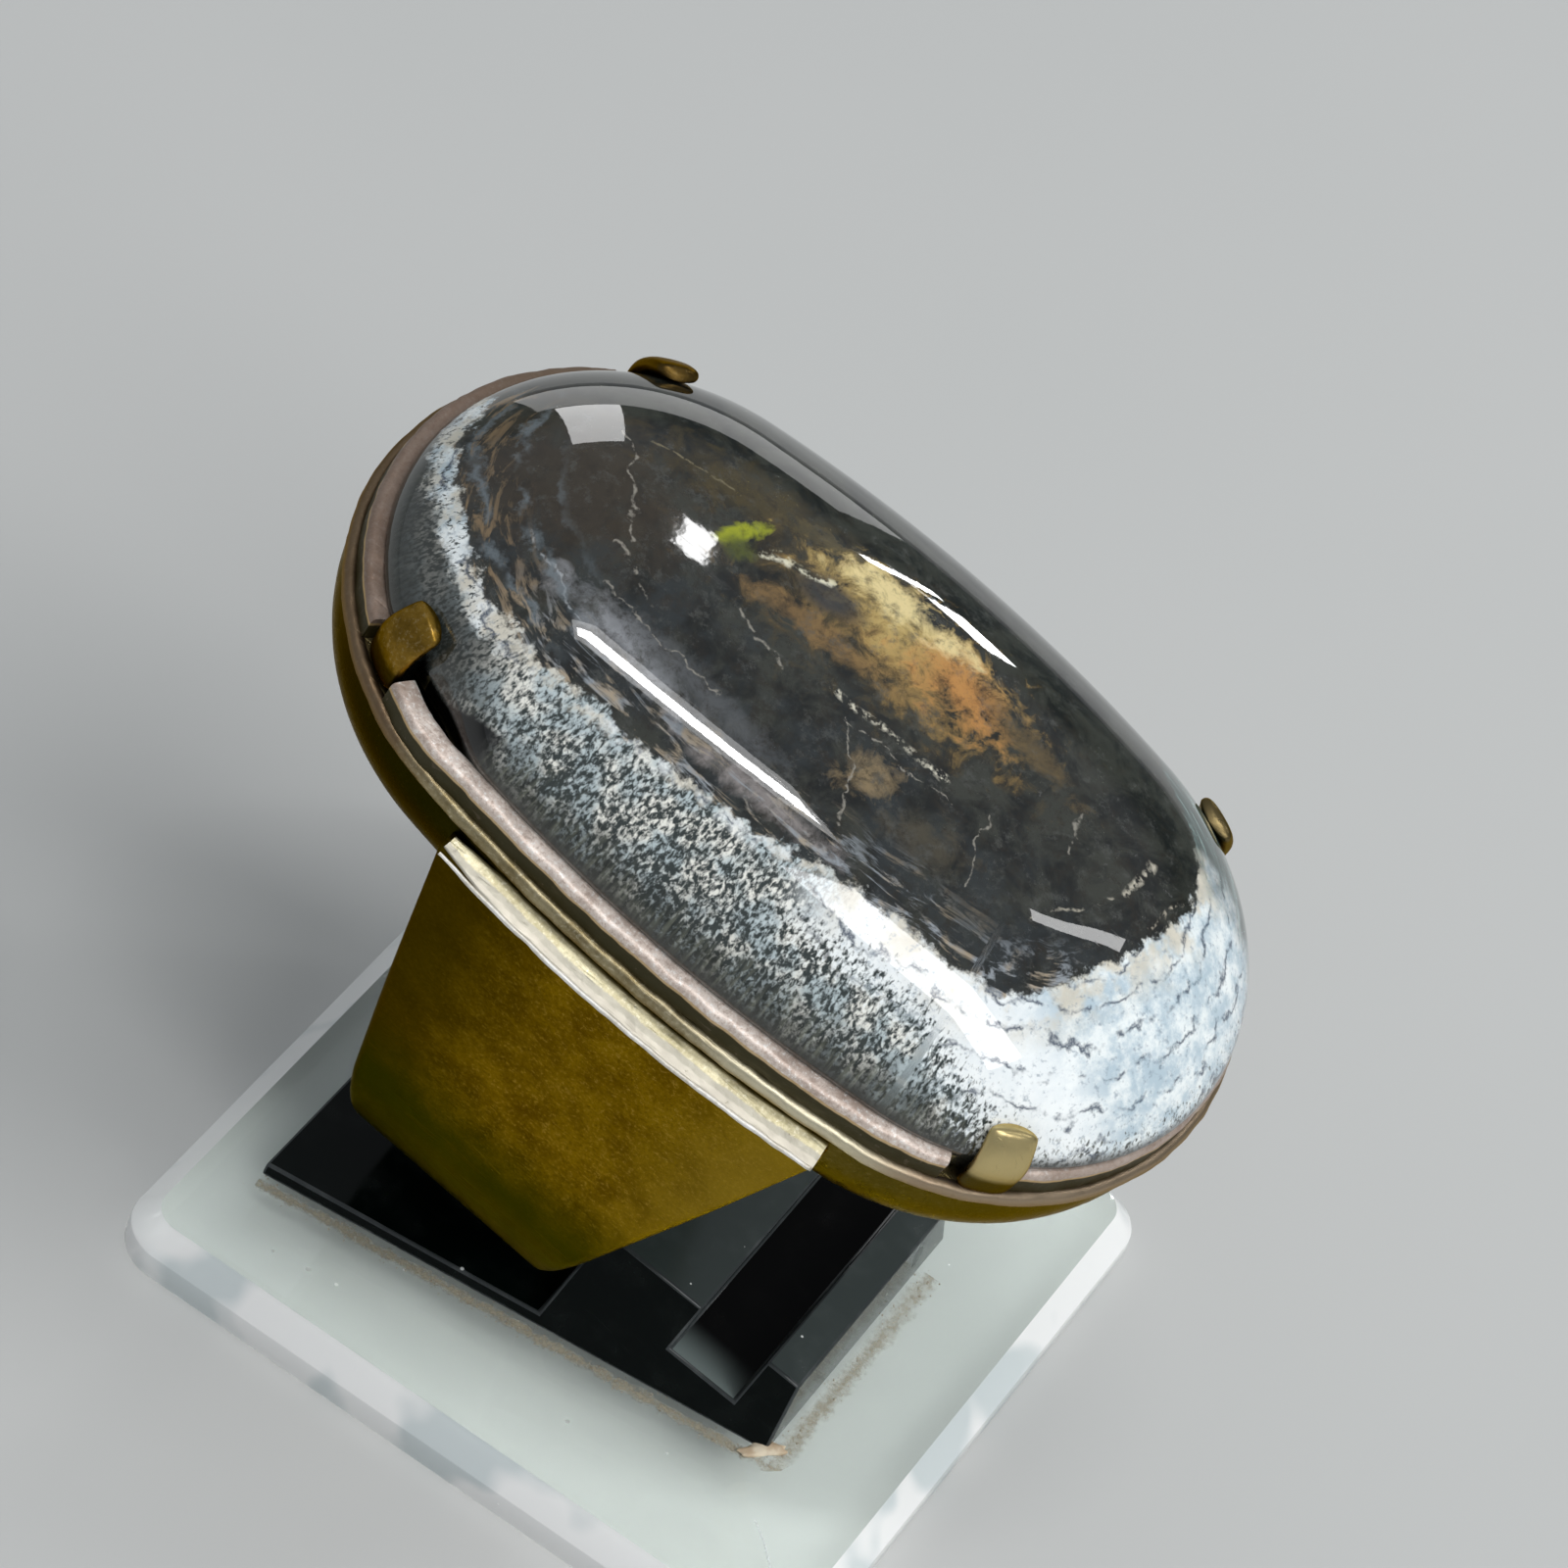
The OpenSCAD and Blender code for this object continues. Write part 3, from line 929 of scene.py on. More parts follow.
@dataclass(frozen=True)
class AgateFinish:
    """Polished agate: dark core, amber patch, speckled wall and milky banded end."""

    name: str = "agate"
    core_black: Colour = (0.002, 0.003, 0.0025)
    core_grey: Colour = (0.03, 0.032, 0.025)
    core_cool: Colour = (0.02, 0.025, 0.027)
    core_umber: Colour = (0.014, 0.01, 0.005)
    core_mottle: Colour = (0.075, 0.078, 0.072)
    core_pale: Colour = (0.16, 0.16, 0.16)
    core_band: Colour = (0.15, 0.18, 0.2)
    fibre_cool: Colour = (0.3, 0.33, 0.36)
    fibre_warm: Colour = (0.42, 0.34, 0.24)
    fibre_brown: Colour = (0.22, 0.15, 0.08)
    speck_dark: Colour = (0.03, 0.04, 0.039)
    speck_blue: Colour = (0.5, 0.58, 0.6)
    speck_cream: Colour = (0.88, 0.87, 0.8)
    thread_dark: Colour = (0.012, 0.014, 0.009)
    thread_pale: Colour = (0.14, 0.145, 0.11)
    milk_blue: Colour = (0.46, 0.57, 0.64)
    milk_pale: Colour = (0.84, 0.89, 0.89)
    # partly painted reflection: the milk's whitest tone, laid on the near side where a window's light reflects
    milk_white: Colour = (0.95, 0.98, 0.98)
    milk_cream: Colour = (0.62, 0.56, 0.44)
    milk_grey: Colour = (0.2, 0.26, 0.33)
    milk_line: Colour = (0.04, 0.06, 0.1)
    glass_dark: Colour = (0.02, 0.04, 0.036)
    glass_pale: Colour = (0.16, 0.24, 0.23)
    left_foot: Colour = (0.03, 0.034, 0.03)
    # painted shade: the black gap by the near left prong and the dark line at the stone's foot
    gap_black: Colour = (0.001, 0.001, 0.001)
    foot: Colour = (0.03, 0.03, 0.024)
    patches: Tuple[Patch, ...] = (
        Patch(-12.6, -1.0, 3.8, 3.0, 0, (0.034, 0.024, 0.013), 1.0, 1.4, 0.8),
        Patch(-7.2, 3.3, 3.4, 1.0, 14, (0.05, 0.037, 0.011), 1.0, 1.5, 0.9),
        Patch(-3.6, 4.1, 2.4, 0.45, 14, (0.11, 0.085, 0.035), 0.9, 1.6, 0.8),
        Patch(-0.4, 1.9, 4.8, 2.1, 6, (0.075, 0.053, 0.02), 1.1, 1.8, 0.95),
        Patch(0.3, 2.5, 3.5, 1.7, 0, (0.3, 0.19, 0.06), 1.0, 2.0, 0.95),
        Patch(-0.6, 3.2, 2.9, 1.2, 0, (0.46, 0.34, 0.12), 1.0, 1.9, 0.9),
        Patch(2.1, 2.6, 1.9, 1.1, -12, (0.46, 0.21, 0.055), 0.9, 1.9, 0.85),
        Patch(-1.1, 3.7, 2.0, 0.75, 6, (0.72, 0.6, 0.3), 0.9, 1.9, 0.9),
        Patch(-2.9, 0.3, 2.4, 0.5, 4, (0.2, 0.12, 0.045), 1.0, 1.9, 0.7),
        Patch(5.4, 2.6, 1.8, 0.5, -8, (0.1, 0.07, 0.03), 1.0, 1.9, 0.8),
        Patch(-3.2, 1.8, 1.2, 0.6, 8, (0.03, 0.032, 0.034), 0.7, 1.2, 0.9),
        # painted glint: a yellow-green internal reflection, bright above a dimmer foot
        Patch(-7.0, 1.5, 0.36, 0.95, -32, (0.28, 0.31, 0.012), 0.5, 1.0, 1.0),
        Patch(-6.7, 0.9, 0.5, 0.5, 0, (0.07, 0.085, 0.01), 0.9, 1.2, 0.8),
        # painted glow: pale patches along the near highlight streak, softening its edges
        Patch(-7.4, -5.1, 2.5, 0.5, -10, (0.3, 0.31, 0.33), 1.4, 1.6, 0.8),
        Patch(-4.4, -4.8, 3.0, 0.5, -6, (0.09, 0.095, 0.1), 1.4, 1.6, 0.75),
        Patch(-0.6, -6.2, 2.8, 0.32, 2, (0.3, 0.27, 0.26), 1.2, 1.8, 0.75),
        Patch(1.8, -3.1, 0.7, 0.65, 30, (0.26, 0.19, 0.1), 1.2, 2.4, 0.8),
        Patch(4.6, -3.4, 1.2, 0.7, 0, (0.07, 0.058, 0.036), 1.2, 2.2, 0.65),
    )
    veins: Tuple[Vein, ...] = (
        Vein(-12.5, 2.3, -9.2, -2.2, 0.06),
        Vein(-12.2, -3.9, -9.2, -5.3, 0.06, colour=(0.42, 0.44, 0.46)),
        Vein(-10.1, -2.3, -7.6, -3.3, 0.08),
        Vein(-9.2, -4.0, -3.8, -4.6, 0.05),
        Vein(-5.2, -1.3, -2.9, -2.1, 0.08),
        Vein(-1.0, -1.15, 3.9, -0.95, 0.16, 0.8, 0.48, (0.8, 0.76, 0.62)),
        # a cream streak with painted glare, as light catches a rough patch
        Vein(-6.0, 1.3, -3.5, 2.3, 0.14, 0.7, 0.44, (0.8, 0.78, 0.62)),
        Vein(-5.7, 1.5, -3.3, 2.55, 0.16, 1.6, 0.5, (0.7, 0.66, 0.46)),
        Vein(11.2, 2.6, 11.1, 0.6, 0.18, 1.2, 0.45, (0.6, 0.56, 0.46)),
        Vein(0.1, -1.7, 1.9, -5.0, 0.05),
        Vein(0.0, -2.0, 4.6, -1.5, 0.04),
        Vein(8.3, 2.2, 8.8, 0.3, 0.09),
        Vein(11.1, 0.8, 9.2, -3.0, 0.08, 2.2, 0.47, (0.4, 0.37, 0.3)),
        Vein(12.9, 2.4, 12.6, 0.2, 0.09, 1.6, 0.47, (0.5, 0.45, 0.36)),
        Vein(6.0, -1.0, 6.8, -3.4, 0.05),
        Vein(-11.5, 2.4, -8.0, 2.9, 0.05, 1.0, 0.4, (0.2, 0.17, 0.1)),
    )

    @staticmethod
    def patch_group() -> bpy.types.NodeTree:
        """A turned, ragged ellipse as a mask."""
        names = ("Vector", "Rag", "Centre", "Turn", "Half X", "Half Y", "Soft", "Ragged")
        vectors = dict.fromkeys(("Vector", "Centre"), "Vector")
        s = GroupSketch("patch", {**dict.fromkeys(names, "Float"), **vectors}, ("Mask",))
        off = s.vector("SUBTRACT", s.vector("MULTIPLY", s.given["Vector"], (1, 1, 0)), s.given["Centre"])
        turn = {"Vector": off, "Angle": s.given["Turn"]}
        spin = s.node("ShaderNodeVectorRotate", turn, rotation_type="Z_AXIS")
        x, y, _ = s.split(spin.outputs[0])
        u = s.math("DIVIDE", x, s.given["Half X"])
        v = s.math("DIVIDE", y, s.given["Half Y"])
        d = s.math("SQRT", s.add(s.mul(u, u), s.mul(v, v)))
        d = s.add(d, s.mul(s.given["Rag"], s.given["Ragged"]))
        fade = s.math("DIVIDE", s.sub(1.0, d), s.given["Soft"])
        s.put(s.gives["Mask"], s.math("ADD", fade, 0.5, clamp=True))
        return s.tree

    @staticmethod
    def vein_group() -> bpy.types.NodeTree:
        """A wandering line between two points as a mask."""
        names = ("Vector", "Bend", "Dot", "Start", "Along", "Length", "Width", "Wander", "Dots")
        vectors = dict.fromkeys(("Vector", "Bend", "Start", "Along"), "Vector")
        s = GroupSketch("vein", {**dict.fromkeys(names, "Float"), **vectors}, ("Mask",))
        bent = s.vector("ADD", s.given["Vector"], s.scaled(s.given["Bend"], s.given["Wander"]))
        off = s.vector("SUBTRACT", s.vector("MULTIPLY", bent, (1, 1, 0)), s.given["Start"])
        run = s.measure("DOT_PRODUCT", off, s.given["Along"])
        held = s.math("MINIMUM", s.most(run, 0.0), s.given["Length"])
        gap = s.measure("DISTANCE", off, s.scaled(s.given["Along"], held))
        line = s.sub(1.3, s.math("DIVIDE", gap, s.given["Width"]), clamp=True)
        seen = s.math("MULTIPLY", s.sub(s.given["Dot"], s.given["Dots"]), 7.0, clamp=True)
        s.put(s.gives["Mask"], s.mul(line, seen))
        return s.tree

    def patched(self, s: Sketch, v: Socket, colour: Socket) -> Socket:
        """Lays the coloured patches over the core.

        Args:
            s: the tree's sketch.
            v: place on the ring.
            colour: the core's colour.

        Returns:
            The colour with the patches.
        """
        group = self.patch_group()
        rag = s.sway(s.noise(v, 0.9, 7.0, 0.66, 0.5), 2.6)
        for p in self.patches:
            inputs = {
                "Vector": v, "Rag": rag, "Centre": (p.x, p.y, 0), "Turn": math.radians(-p.turn),
                "Half X": p.half_x, "Half Y": p.half_y, "Soft": p.soft, "Ragged": p.rough,
            }
            colour = s.dye(colour, p.colour, s.group(group, inputs).outputs[0], p.share)
        return colour

    def veined(self, s: Sketch, v: Socket, colour: Socket) -> Socket:
        """Draws the veins over the core.

        Args:
            s: the tree's sketch.
            v: place on the ring.
            colour: the core's colour.

        Returns:
            The colour with the veins.
        """
        group = self.vein_group()
        swirl = s.node("ShaderNodeTexNoise", {"Vector": v, "Scale": 0.5, "Detail": 4.0, "Roughness": 0.55})
        bend = s.vector("SUBTRACT", swirl.outputs["Color"], (0.5, 0.5, 0.5))
        dot = s.noise(v, 3.2, 3.0, 0.6)
        for k in self.veins:
            length = math.hypot(k.x1 - k.x0, k.y1 - k.y0)
            inputs = {
                "Vector": v, "Bend": bend, "Dot": dot, "Start": (k.x0, k.y0, 0),
                "Along": ((k.x1 - k.x0) / length, (k.y1 - k.y0) / length, 0), "Length": length,
                "Width": k.width, "Wander": k.wander, "Dots": k.dots,
            }
            colour = s.dye(colour, k.colour, s.group(group, inputs).outputs[0], 0.75)
        return colour

    def core(self, s: Sketch, v: Socket, skin: Socket, deep: Socket) -> Socket:
        """Colour of the dark core with its patches, veins, bands and fibres.

        Args:
            s: the tree's sketch.
            v: place on the ring.
            skin: distance in from the rim and length along it.
            deep: distance inside the core's edge.

        Returns:
            The colour.
        """
        x, y, _ = s.split(v)
        inset, run, _ = s.split(skin)
        cloud = s.noise(v, 0.45, 7.0, 0.68, 0.6)
        colour = s.mix(s.ramp(cloud, 0.4, 0.6), self.core_black, self.core_grey)
        cool = s.mul(s.ramp(y, 0.5, -3.0), s.ramp(s.noise(v, 0.7, 4.0), 0.4, 0.62))
        colour = s.dye(colour, self.core_cool, cool, 0.8)
        colour = self.patched(s, v, colour)
        fleck = s.noise(v, 1.6, 8.0, 0.78, 0.2)
        colour = s.dye(colour, self.core_umber, s.ramp(fleck, 0.54, 0.3), 0.8)
        colour = s.dye(colour, self.core_mottle, s.ramp(s.noise(v, 1.3, 8.0, 0.78), 0.52, 0.68), 0.55)
        pale = s.mul(s.ramp(fleck, 0.6, 0.72), s.ramp(x, 1.0, 8.0))
        colour = s.dye(colour, self.core_pale, pale, 0.55)
        colour = self.veined(s, v, colour)
        # thin blue-grey bands that follow the core's edge at the left end
        wave = s.add(s.mul(deep, 0.75), s.mul(s.noise(v, 0.35, 5.0, 0.6), 1.1))
        band = s.sub(1.0, s.mul(s.math("PINGPONG", wave, 0.5), 5.0), clamp=True)
        place = s.mul(s.ramp(x, -8.0, -10.5), s.mul(s.ramp(deep, 3.6, 2.4), s.ramp(y, 3.5, 1.0)))
        band = s.mul(band, place, s.ramp(s.noise(v, 0.8, 4.0), 0.36, 0.56))
        colour = s.dye(colour, self.core_band, band, 0.8)
        # pale fibres that follow the rim inside the core's edge
        fibre = s.noise(s.join(s.mul(run, 0.4), s.mul(inset, 2.4)), 1.0, 5.0, 0.68, 0.7)
        near = s.mul(s.ramp(deep, 2.4, 0.3), s.most(s.ramp(y, -2.0, -4.0), s.ramp(x, -9.0, -12.0)))
        tone = s.mix(s.ramp(s.noise(v, 0.9, 4.0), 0.42, 0.6), self.fibre_cool, self.fibre_warm)
        tone = s.mix(s.ramp(x, -9.0, -13.0), tone, self.fibre_brown)
        return s.dye(colour, tone, s.mul(s.ramp(fibre, 0.49, 0.62), near), 0.9)

    def milk(self, s: Sketch, v: Socket, inset: Socket, out_by: Socket) -> Socket:
        """Colour of the milky stone with its thin dark lines.

        Args:
            s: the tree's sketch.
            v: place on the ring.
            inset: distance in from the rim.
            out_by: distance outside the core's edge.

        Returns:
            The colour.
        """
        _, y, _ = s.split(v)
        milk = s.mix(s.ramp(s.noise(v, 0.9, 6.0, 0.7), 0.38, 0.64), self.milk_blue, self.milk_pale)
        # the milk whitens towards the near side: partly its own colour, partly a painted reflection of a
        # window
        milk = s.dye(milk, self.milk_white, s.ramp(y, -4.0, -6.2), 0.8)
        cream = s.mul(s.ramp(out_by, 2.0, 0.2), s.ramp(s.noise(v, 0.6, 4.0, 0.6), 0.42, 0.6))
        milk = s.dye(milk, self.milk_cream, cream, 0.8)
        milk = s.dye(milk, self.milk_grey, s.ramp(s.noise(v, 3.4, 4.0, 0.7), 0.54, 0.7), 0.6)
        field = s.add(inset, s.sway(s.noise(v, 0.55, 6.0, 0.6), 2.4))
        line = s.sub(1.0, s.mul(s.math("PINGPONG", field, 0.5), 8.0), clamp=True)
        line = s.mul(line, s.ramp(s.noise(v, 1.3, 3.0), 0.4, 0.56))
        return s.dye(milk, self.milk_line, line, 0.95)

    def wall(self, s: Sketch, v: Socket, skin: Socket, out_by: Socket) -> Socket:
        """Colour of the speckled wall and the milky end.

        Args:
            s: the tree's sketch.
            v: place on the ring.
            skin: distance in from the rim and length along it.
            out_by: distance outside the core's edge.

        Returns:
            The colour.
        """
        x, y, _ = s.split(v)
        inset, run, height = s.split(skin)
        grain = s.noise(s.join(run, s.mul(inset, 0.62), s.mul(height, 0.62)), 6.4, 3.0, 0.6, 0.3)
        light = s.mix(s.ramp(s.noise(v, 0.8, 3.0), 0.4, 0.62), self.speck_blue, self.speck_cream)
        shade = s.sway(s.noise(v, 0.5, 3.0), 0.22)
        high = s.mul(s.ramp(inset, 1.6, 4.6, smooth=False), 0.075)
        high = s.add(high, s.mul(s.ramp(x, 2.0, 10.0), 0.045))
        high = s.add(high, s.mul(s.ramp(x, -3.0, -9.0), 0.04))
        speck = s.mix(s.ramp(s.add(grain, shade, high), 0.45, 0.68), self.speck_dark, light)
        # darker and greener down to the rim, with short threads across
        thread = s.noise(s.join(s.mul(run, 5.0), s.mul(inset, 0.8)), 1.0, 3.0, 0.5)
        low = s.mix(s.ramp(thread, 0.45, 0.64), self.thread_dark, self.thread_pale)
        drop = s.add(inset, s.sway(s.noise(v, 1.1, 4.0), 1.6))
        speck = s.dye(speck, low, s.ramp(drop, 2.1, 0.9), 0.85)
        # milky right end, left end and thin line round the core
        limits = {"Value": x, "From Min": 8.5, "From Max": 14.0, "To Min": 3.1, "To Max": 0.8}
        limit = s.node("ShaderNodeMapRange", limits).outputs[0]
        ragged = s.add(s.sub(inset, limit), s.sway(grain, 4.0))
        end = s.mul(s.ramp(x, 1.5, 5.0), s.ramp(ragged, -0.4, 0.5))
        left = s.mul(s.ramp(x, -8.5, -11.0), s.mul(s.ramp(out_by, 0.8, 0.45), s.ramp(grain, 0.36, 0.46)))
        core_line = s.mul(s.ramp(out_by, 0.6, 0.1), s.ramp(s.noise(v, 1.6, 3.0), 0.42, 0.55))
        mask = s.most(end, left, s.mul(core_line, 0.8))
        left_foot = s.mul(s.ramp(x, -8.5, -11.5), s.ramp(out_by, 0.45, 0.9))
        speck = s.dye(speck, self.left_foot, left_foot, 0.85)
        colour = s.mix(mask, speck, self.milk(s, v, inset, out_by))
        # glassy green-grey far corner
        streak = s.noise(s.join(s.mul(run, 0.2), s.mul(inset, 2.6)), 1.0, 4.0, 0.6, 0.4)
        glassy = s.mix(s.ramp(streak, 0.45, 0.68), self.glass_dark, self.glass_pale)
        far = s.ramp(s.add(y, s.sway(s.noise(v, 0.8, 4.0), 3.0)), 3.6, 6.2)
        colour = s.mix(far, colour, glassy)
        # painted shade: a black gap beside the near left prong, then the thin dark foot where the stone meets
        # the rim
        gap = s.mul(s.ramp(x, -12.9, -12.2), s.ramp(x, -7.6, -9.0))
        gap = s.mul(gap, s.ramp(y, -6.0, -7.0), s.ramp(inset, 1.62, 1.5))
        colour = s.mix(gap, colour, self.gap_black)
        return s.mix(s.ramp(inset, 1.15, 0.9), colour, self.foot)

    def build(self, shared: SharedGroups) -> bpy.types.Material:
        """Makes the material.

        Args:
            shared: effects in common.

        Returns:
            The material.
        """
        s = Paint(self.name)
        v = s.ring_place()
        skin = s.node("ShaderNodeAttribute", attribute_name=SKIN).outputs["Vector"]
        edge = s.node("ShaderNodeAttribute", attribute_name=CORE_EDGE).outputs["Fac"]
        deep = s.add(edge, s.sway(s.noise(v, 1.3, 7.0, 0.72), 1.5))
        core = self.core(s, v, skin, deep)
        wall = self.wall(s, v, skin, s.mul(deep, -1.0))
        wear = s.group(shared.wear, {"Vector": v, "Scratch": 0.25, "Pits": 0.15}).outputs
        rough = s.add(0.01, s.mul(s.noise(v, 1.2, 4.0), 0.025))
        height = s.add(s.mul(s.noise(v, 0.9, 3.0), 0.14), s.mul(wear["Height"], 0.02))
        return s.finish({
            "Base Color": s.mix(s.ramp(deep, -0.1, 0.12), wall, core),
            "Roughness": s.add(rough, s.mul(wear["Mask"], 0.2)),
            "IOR": 1.54,
            "Coat Weight": 0.35,
            "Coat Roughness": 0.012,
            "Normal": s.bump(height, 0.04, 0.4),
        })


# Geometry nodes


class GeoSketch(Sketch):
    """A geometry node tree in the making, with named inputs for its sizes, its seed and its finish."""

    def __init__(self, name: str, numbers: Sequence[str], others: dict[str, str] | None = None) -> None:
        """Starts the tree.

        Args:
            name: the tree's name.
            numbers: names of its number inputs.
            others: socket kinds of its other inputs, by name.
        """
        super().__init__(bpy.data.node_groups.new(name, "GeometryNodeTree"))
        face = self.tree.interface
        face.new_socket("Geometry", in_out="INPUT", socket_type="NodeSocketGeometry")
        face.new_socket("Geometry", in_out="OUTPUT", socket_type="NodeSocketGeometry")
        self.ids: dict[str, str] = {}
        for key, kind in {**dict.fromkeys(numbers, "Float"), **(others or {}), "Finish": "Material"}.items():
            self.ids[key] = face.new_socket(key, in_out="INPUT", socket_type="NodeSocket" + kind).identifier
        self.given = self.node("NodeGroupInput").outputs
        self.gives = self.node("NodeGroupOutput").inputs

    def finish(self, geometry: Socket) -> None:
        """Ends the tree in Realize Instances and Set Material.

        Args:
            geometry: what the tree has made.
        """
        real = self.node("GeometryNodeRealizeInstances", {"Geometry": geometry}).outputs[0]
        paint = self.node("GeometryNodeSetMaterial", {"Geometry": real, "Material": self.given["Finish"]})
        self.put(self.gives[0], paint.outputs[0])

    def apply(self, mesh: bpy.types.Mesh, values: dict) -> bpy.types.Mesh:
        """Runs the tree on a mesh.

        Args:
            mesh: what goes in.
            values: values of the named inputs.

        Returns:
            A plain new mesh.
        """
        obj = bpy.data.objects.new("tmp_" + self.tree.name, mesh)
        bpy.context.scene.collection.objects.link(obj)
        mod = obj.modifiers.new("nodes", "NODES")
        mod.node_group = self.tree
        for key, value in values.items():
            mod[self.ids[key]] = value
        deps = bpy.context.evaluated_depsgraph_get()
        made = bpy.data.meshes.new_from_object(obj.evaluated_get(deps))
        obj.modifiers.remove(mod)
        bpy.data.objects.remove(obj)
        return made


@dataclass(frozen=True)
class Bar:
    """Sizes of a swept bar, and how it is dented."""

    width: float
    height: float
    fillet: float
    step: float
    dent: float = 0.0
    dent_scale: float = 1.0
    seed: float = 1.0
    taper: float = 1.0
    tilt: float = 0.0


class TrimSweep(GeoSketch):
    """A filleted bar that follows a line, dented at random."""

    def __init__(self) -> None:
        """Builds the tree."""
        numbers = ("Width", "Height", "Fillet", "Step", "Tilt", "Taper", "Dent", "Dent Scale", "Seed")
        super().__init__("trim_sweep", numbers)
        given = self.given
        curve = self.node("GeometryNodeMeshToCurve", {"Mesh": given["Geometry"]}).outputs[0]
        spaced = {"Curve": curve, "Length": given["Step"]}
        even = self.node("GeometryNodeResampleCurve", spaced, mode="LENGTH").outputs[0]
        up = self.node("GeometryNodeSetCurveNormal", {"Curve": even}, mode="Z_UP").outputs[0]
        turned = self.node("GeometryNodeSetCurveTilt", {"Curve": up, "Tilt": given["Tilt"]}).outputs[0]
        along = self.node("GeometryNodeSplineParameter").outputs["Factor"]
        thin = self.node("ShaderNodeMapRange", {"Value": along, "From Max": 0.16, "To Min": given["Taper"]})
        sides = {"Width": given["Width"], "Height": given["Height"]}
        bar = self.node("GeometryNodeCurvePrimitiveQuadrilateral", sides).outputs[0]
        rounding = {"Curve": bar, "Radius": given["Fillet"], "Count": 3}
        soft = self.node("GeometryNodeFilletCurve", rounding, mode="POLY").outputs[0]
        fine = self.node("GeometryNodeResampleCurve", {"Curve": soft, "Count": 28}, mode="COUNT").outputs[0]
        sweep = {"Curve": turned, "Scale": thin.outputs[0], "Profile Curve": fine, "Fill Caps": True}
        skin = self.node("GeometryNodeCurveToMesh", sweep).outputs[0]
        place = self.node("GeometryNodeInputPosition").outputs[0]
        lumps = {"Vector": place, "Scale": given["Dent Scale"], "Detail": 2.0, "W": given["Seed"]}
        lump = self.node("ShaderNodeTexNoise", lumps, noise_dimensions="4D").outputs["Color"]
        shift = self.scaled(self.vector("SUBTRACT", lump, (0.5, 0.5, 0.5)), given["Dent"])
        self.finish(self.node("GeometryNodeSetPosition", {"Geometry": skin, "Offset": shift}).outputs[0])

    def follow(self, line: bpy.types.Mesh, bar: Bar, finish: bpy.types.Material) -> bpy.types.Mesh:
        """Sweeps a bar along a line.

        Args:
            line: a mesh of edges.
            bar: the bar's sizes.
            finish: its material.

        Returns:
            The bar's mesh.
        """
        values = {key.replace("_", " ").title(): value for key, value in asdict(bar).items()}
        return self.apply(line, {**values, "Finish": finish})


# The ring


class DomeRule(GeoSketch):
    """Shapes a grid into the stone: a round-bottomed seat under a dome, both swept round an oval.

    Each point of the grid brings its direction as its place and, in SWEEP, its arc's centre and extra radius.
    The height of its place is the angle up the outline, from -90 degrees under the seat to 90 at the top.
    """

    SWEEP = "sweep"
    # powers of the cosine and the sine that shape the dome's outline
    POWER_IN = 0.942
    POWER_UP = 1.306
    # where the fall at the ends and the crown's edge are measured
    FALL_X = 18.0
    CROWN_Y = 8.0

    def __init__(self) -> None:
        """Builds the tree."""
        numbers = (
            "Foot Radius", "Foot Height", "Run", "Top Height", "Seat Centre", "Seat Height", "Seat Radius",
            "Fall", "Crown", "Shift", "Hollow",
        )
        super().__init__("dome_rule", numbers, {"Hollow At": "Vector"})
        given = self.given
        way_x, way_y, angle = self.split(self.node("GeometryNodeInputPosition").outputs[0])
        sweep = self.node("GeometryNodeInputNamedAttribute", {"Name": self.SWEEP}, data_type="FLOAT_VECTOR")
        arc_x, arc_y, extra = self.split(sweep.outputs[0])
        up = self.most(angle, 0.0)
        cosine = self.math("POWER", self.most(self.math("COSINE", up), 0.0), self.POWER_IN)
        sine = self.math("POWER", self.most(self.math("SINE", up), 0.0), self.POWER_UP)
        rise = self.sub(given["Top Height"], given["Foot Height"])
        dome_r = self.sub(given["Foot Radius"], self.mul(given["Run"], self.sub(1.0, cosine)))
        dome_z = self.add(given["Foot Height"], self.mul(rise, sine))
        down = self.math("MINIMUM", angle, 0.0)
        seat_r = self.add(given["Seat Centre"], self.mul(given["Seat Radius"], self.math("COSINE", down)))
        seat_z = self.add(given["Seat Height"], self.mul(given["Seat Radius"], self.math("SINE", down)))
        below = self.math("LESS_THAN", angle, 0.0)
        above = self.sub(1.0, below)
        reach = self.add(self.add(self.mul(dome_r, above), self.mul(seat_r, below)), extra)
        z = self.add(self.mul(dome_z, above), self.mul(seat_z, below))
        x = self.add(arc_x, self.mul(reach, way_x))
        y = self.add(arc_y, self.mul(reach, way_y))
        # a hollow at the foot of the wall, on the near side
        away = self.measure("DISTANCE", self.join(x, y), given["Hollow At"])
        local = self.mul(self.ramp(away, 3.6, 0.4), self.mul(self.ramp(z, 4.2, 1.6), above))
        pull = self.mul(local, given["Hollow"])
        x = self.sub(x, self.mul(pull, way_x))
        y = self.sub(y, self.mul(pull, way_y))
        # the dome falls towards its ends and is crowned across its middle
        share = self.most(self.math("DIVIDE", self.sub(z, given["Foot Height"]), rise), 0.0)
        along = self.math("DIVIDE", x, self.FALL_X)
        fall = self.mul(given["Fall"], self.mul(along, along))
        held = self.math("MINIMUM", self.math("ABSOLUTE", y), self.CROWN_Y)
        across = self.math("DIVIDE", held, self.CROWN_Y)
        crown = self.mul(given["Crown"], self.sub(1.0, self.mul(across, across)))
        z = self.add(z, self.mul(share, self.sub(crown, fall)))
        made = self.join(self.add(x, given["Shift"]), y, z)
        moved = self.node("GeometryNodeSetPosition", {"Geometry": given["Geometry"], "Position": made})
        self.finish(moved.outputs[0])


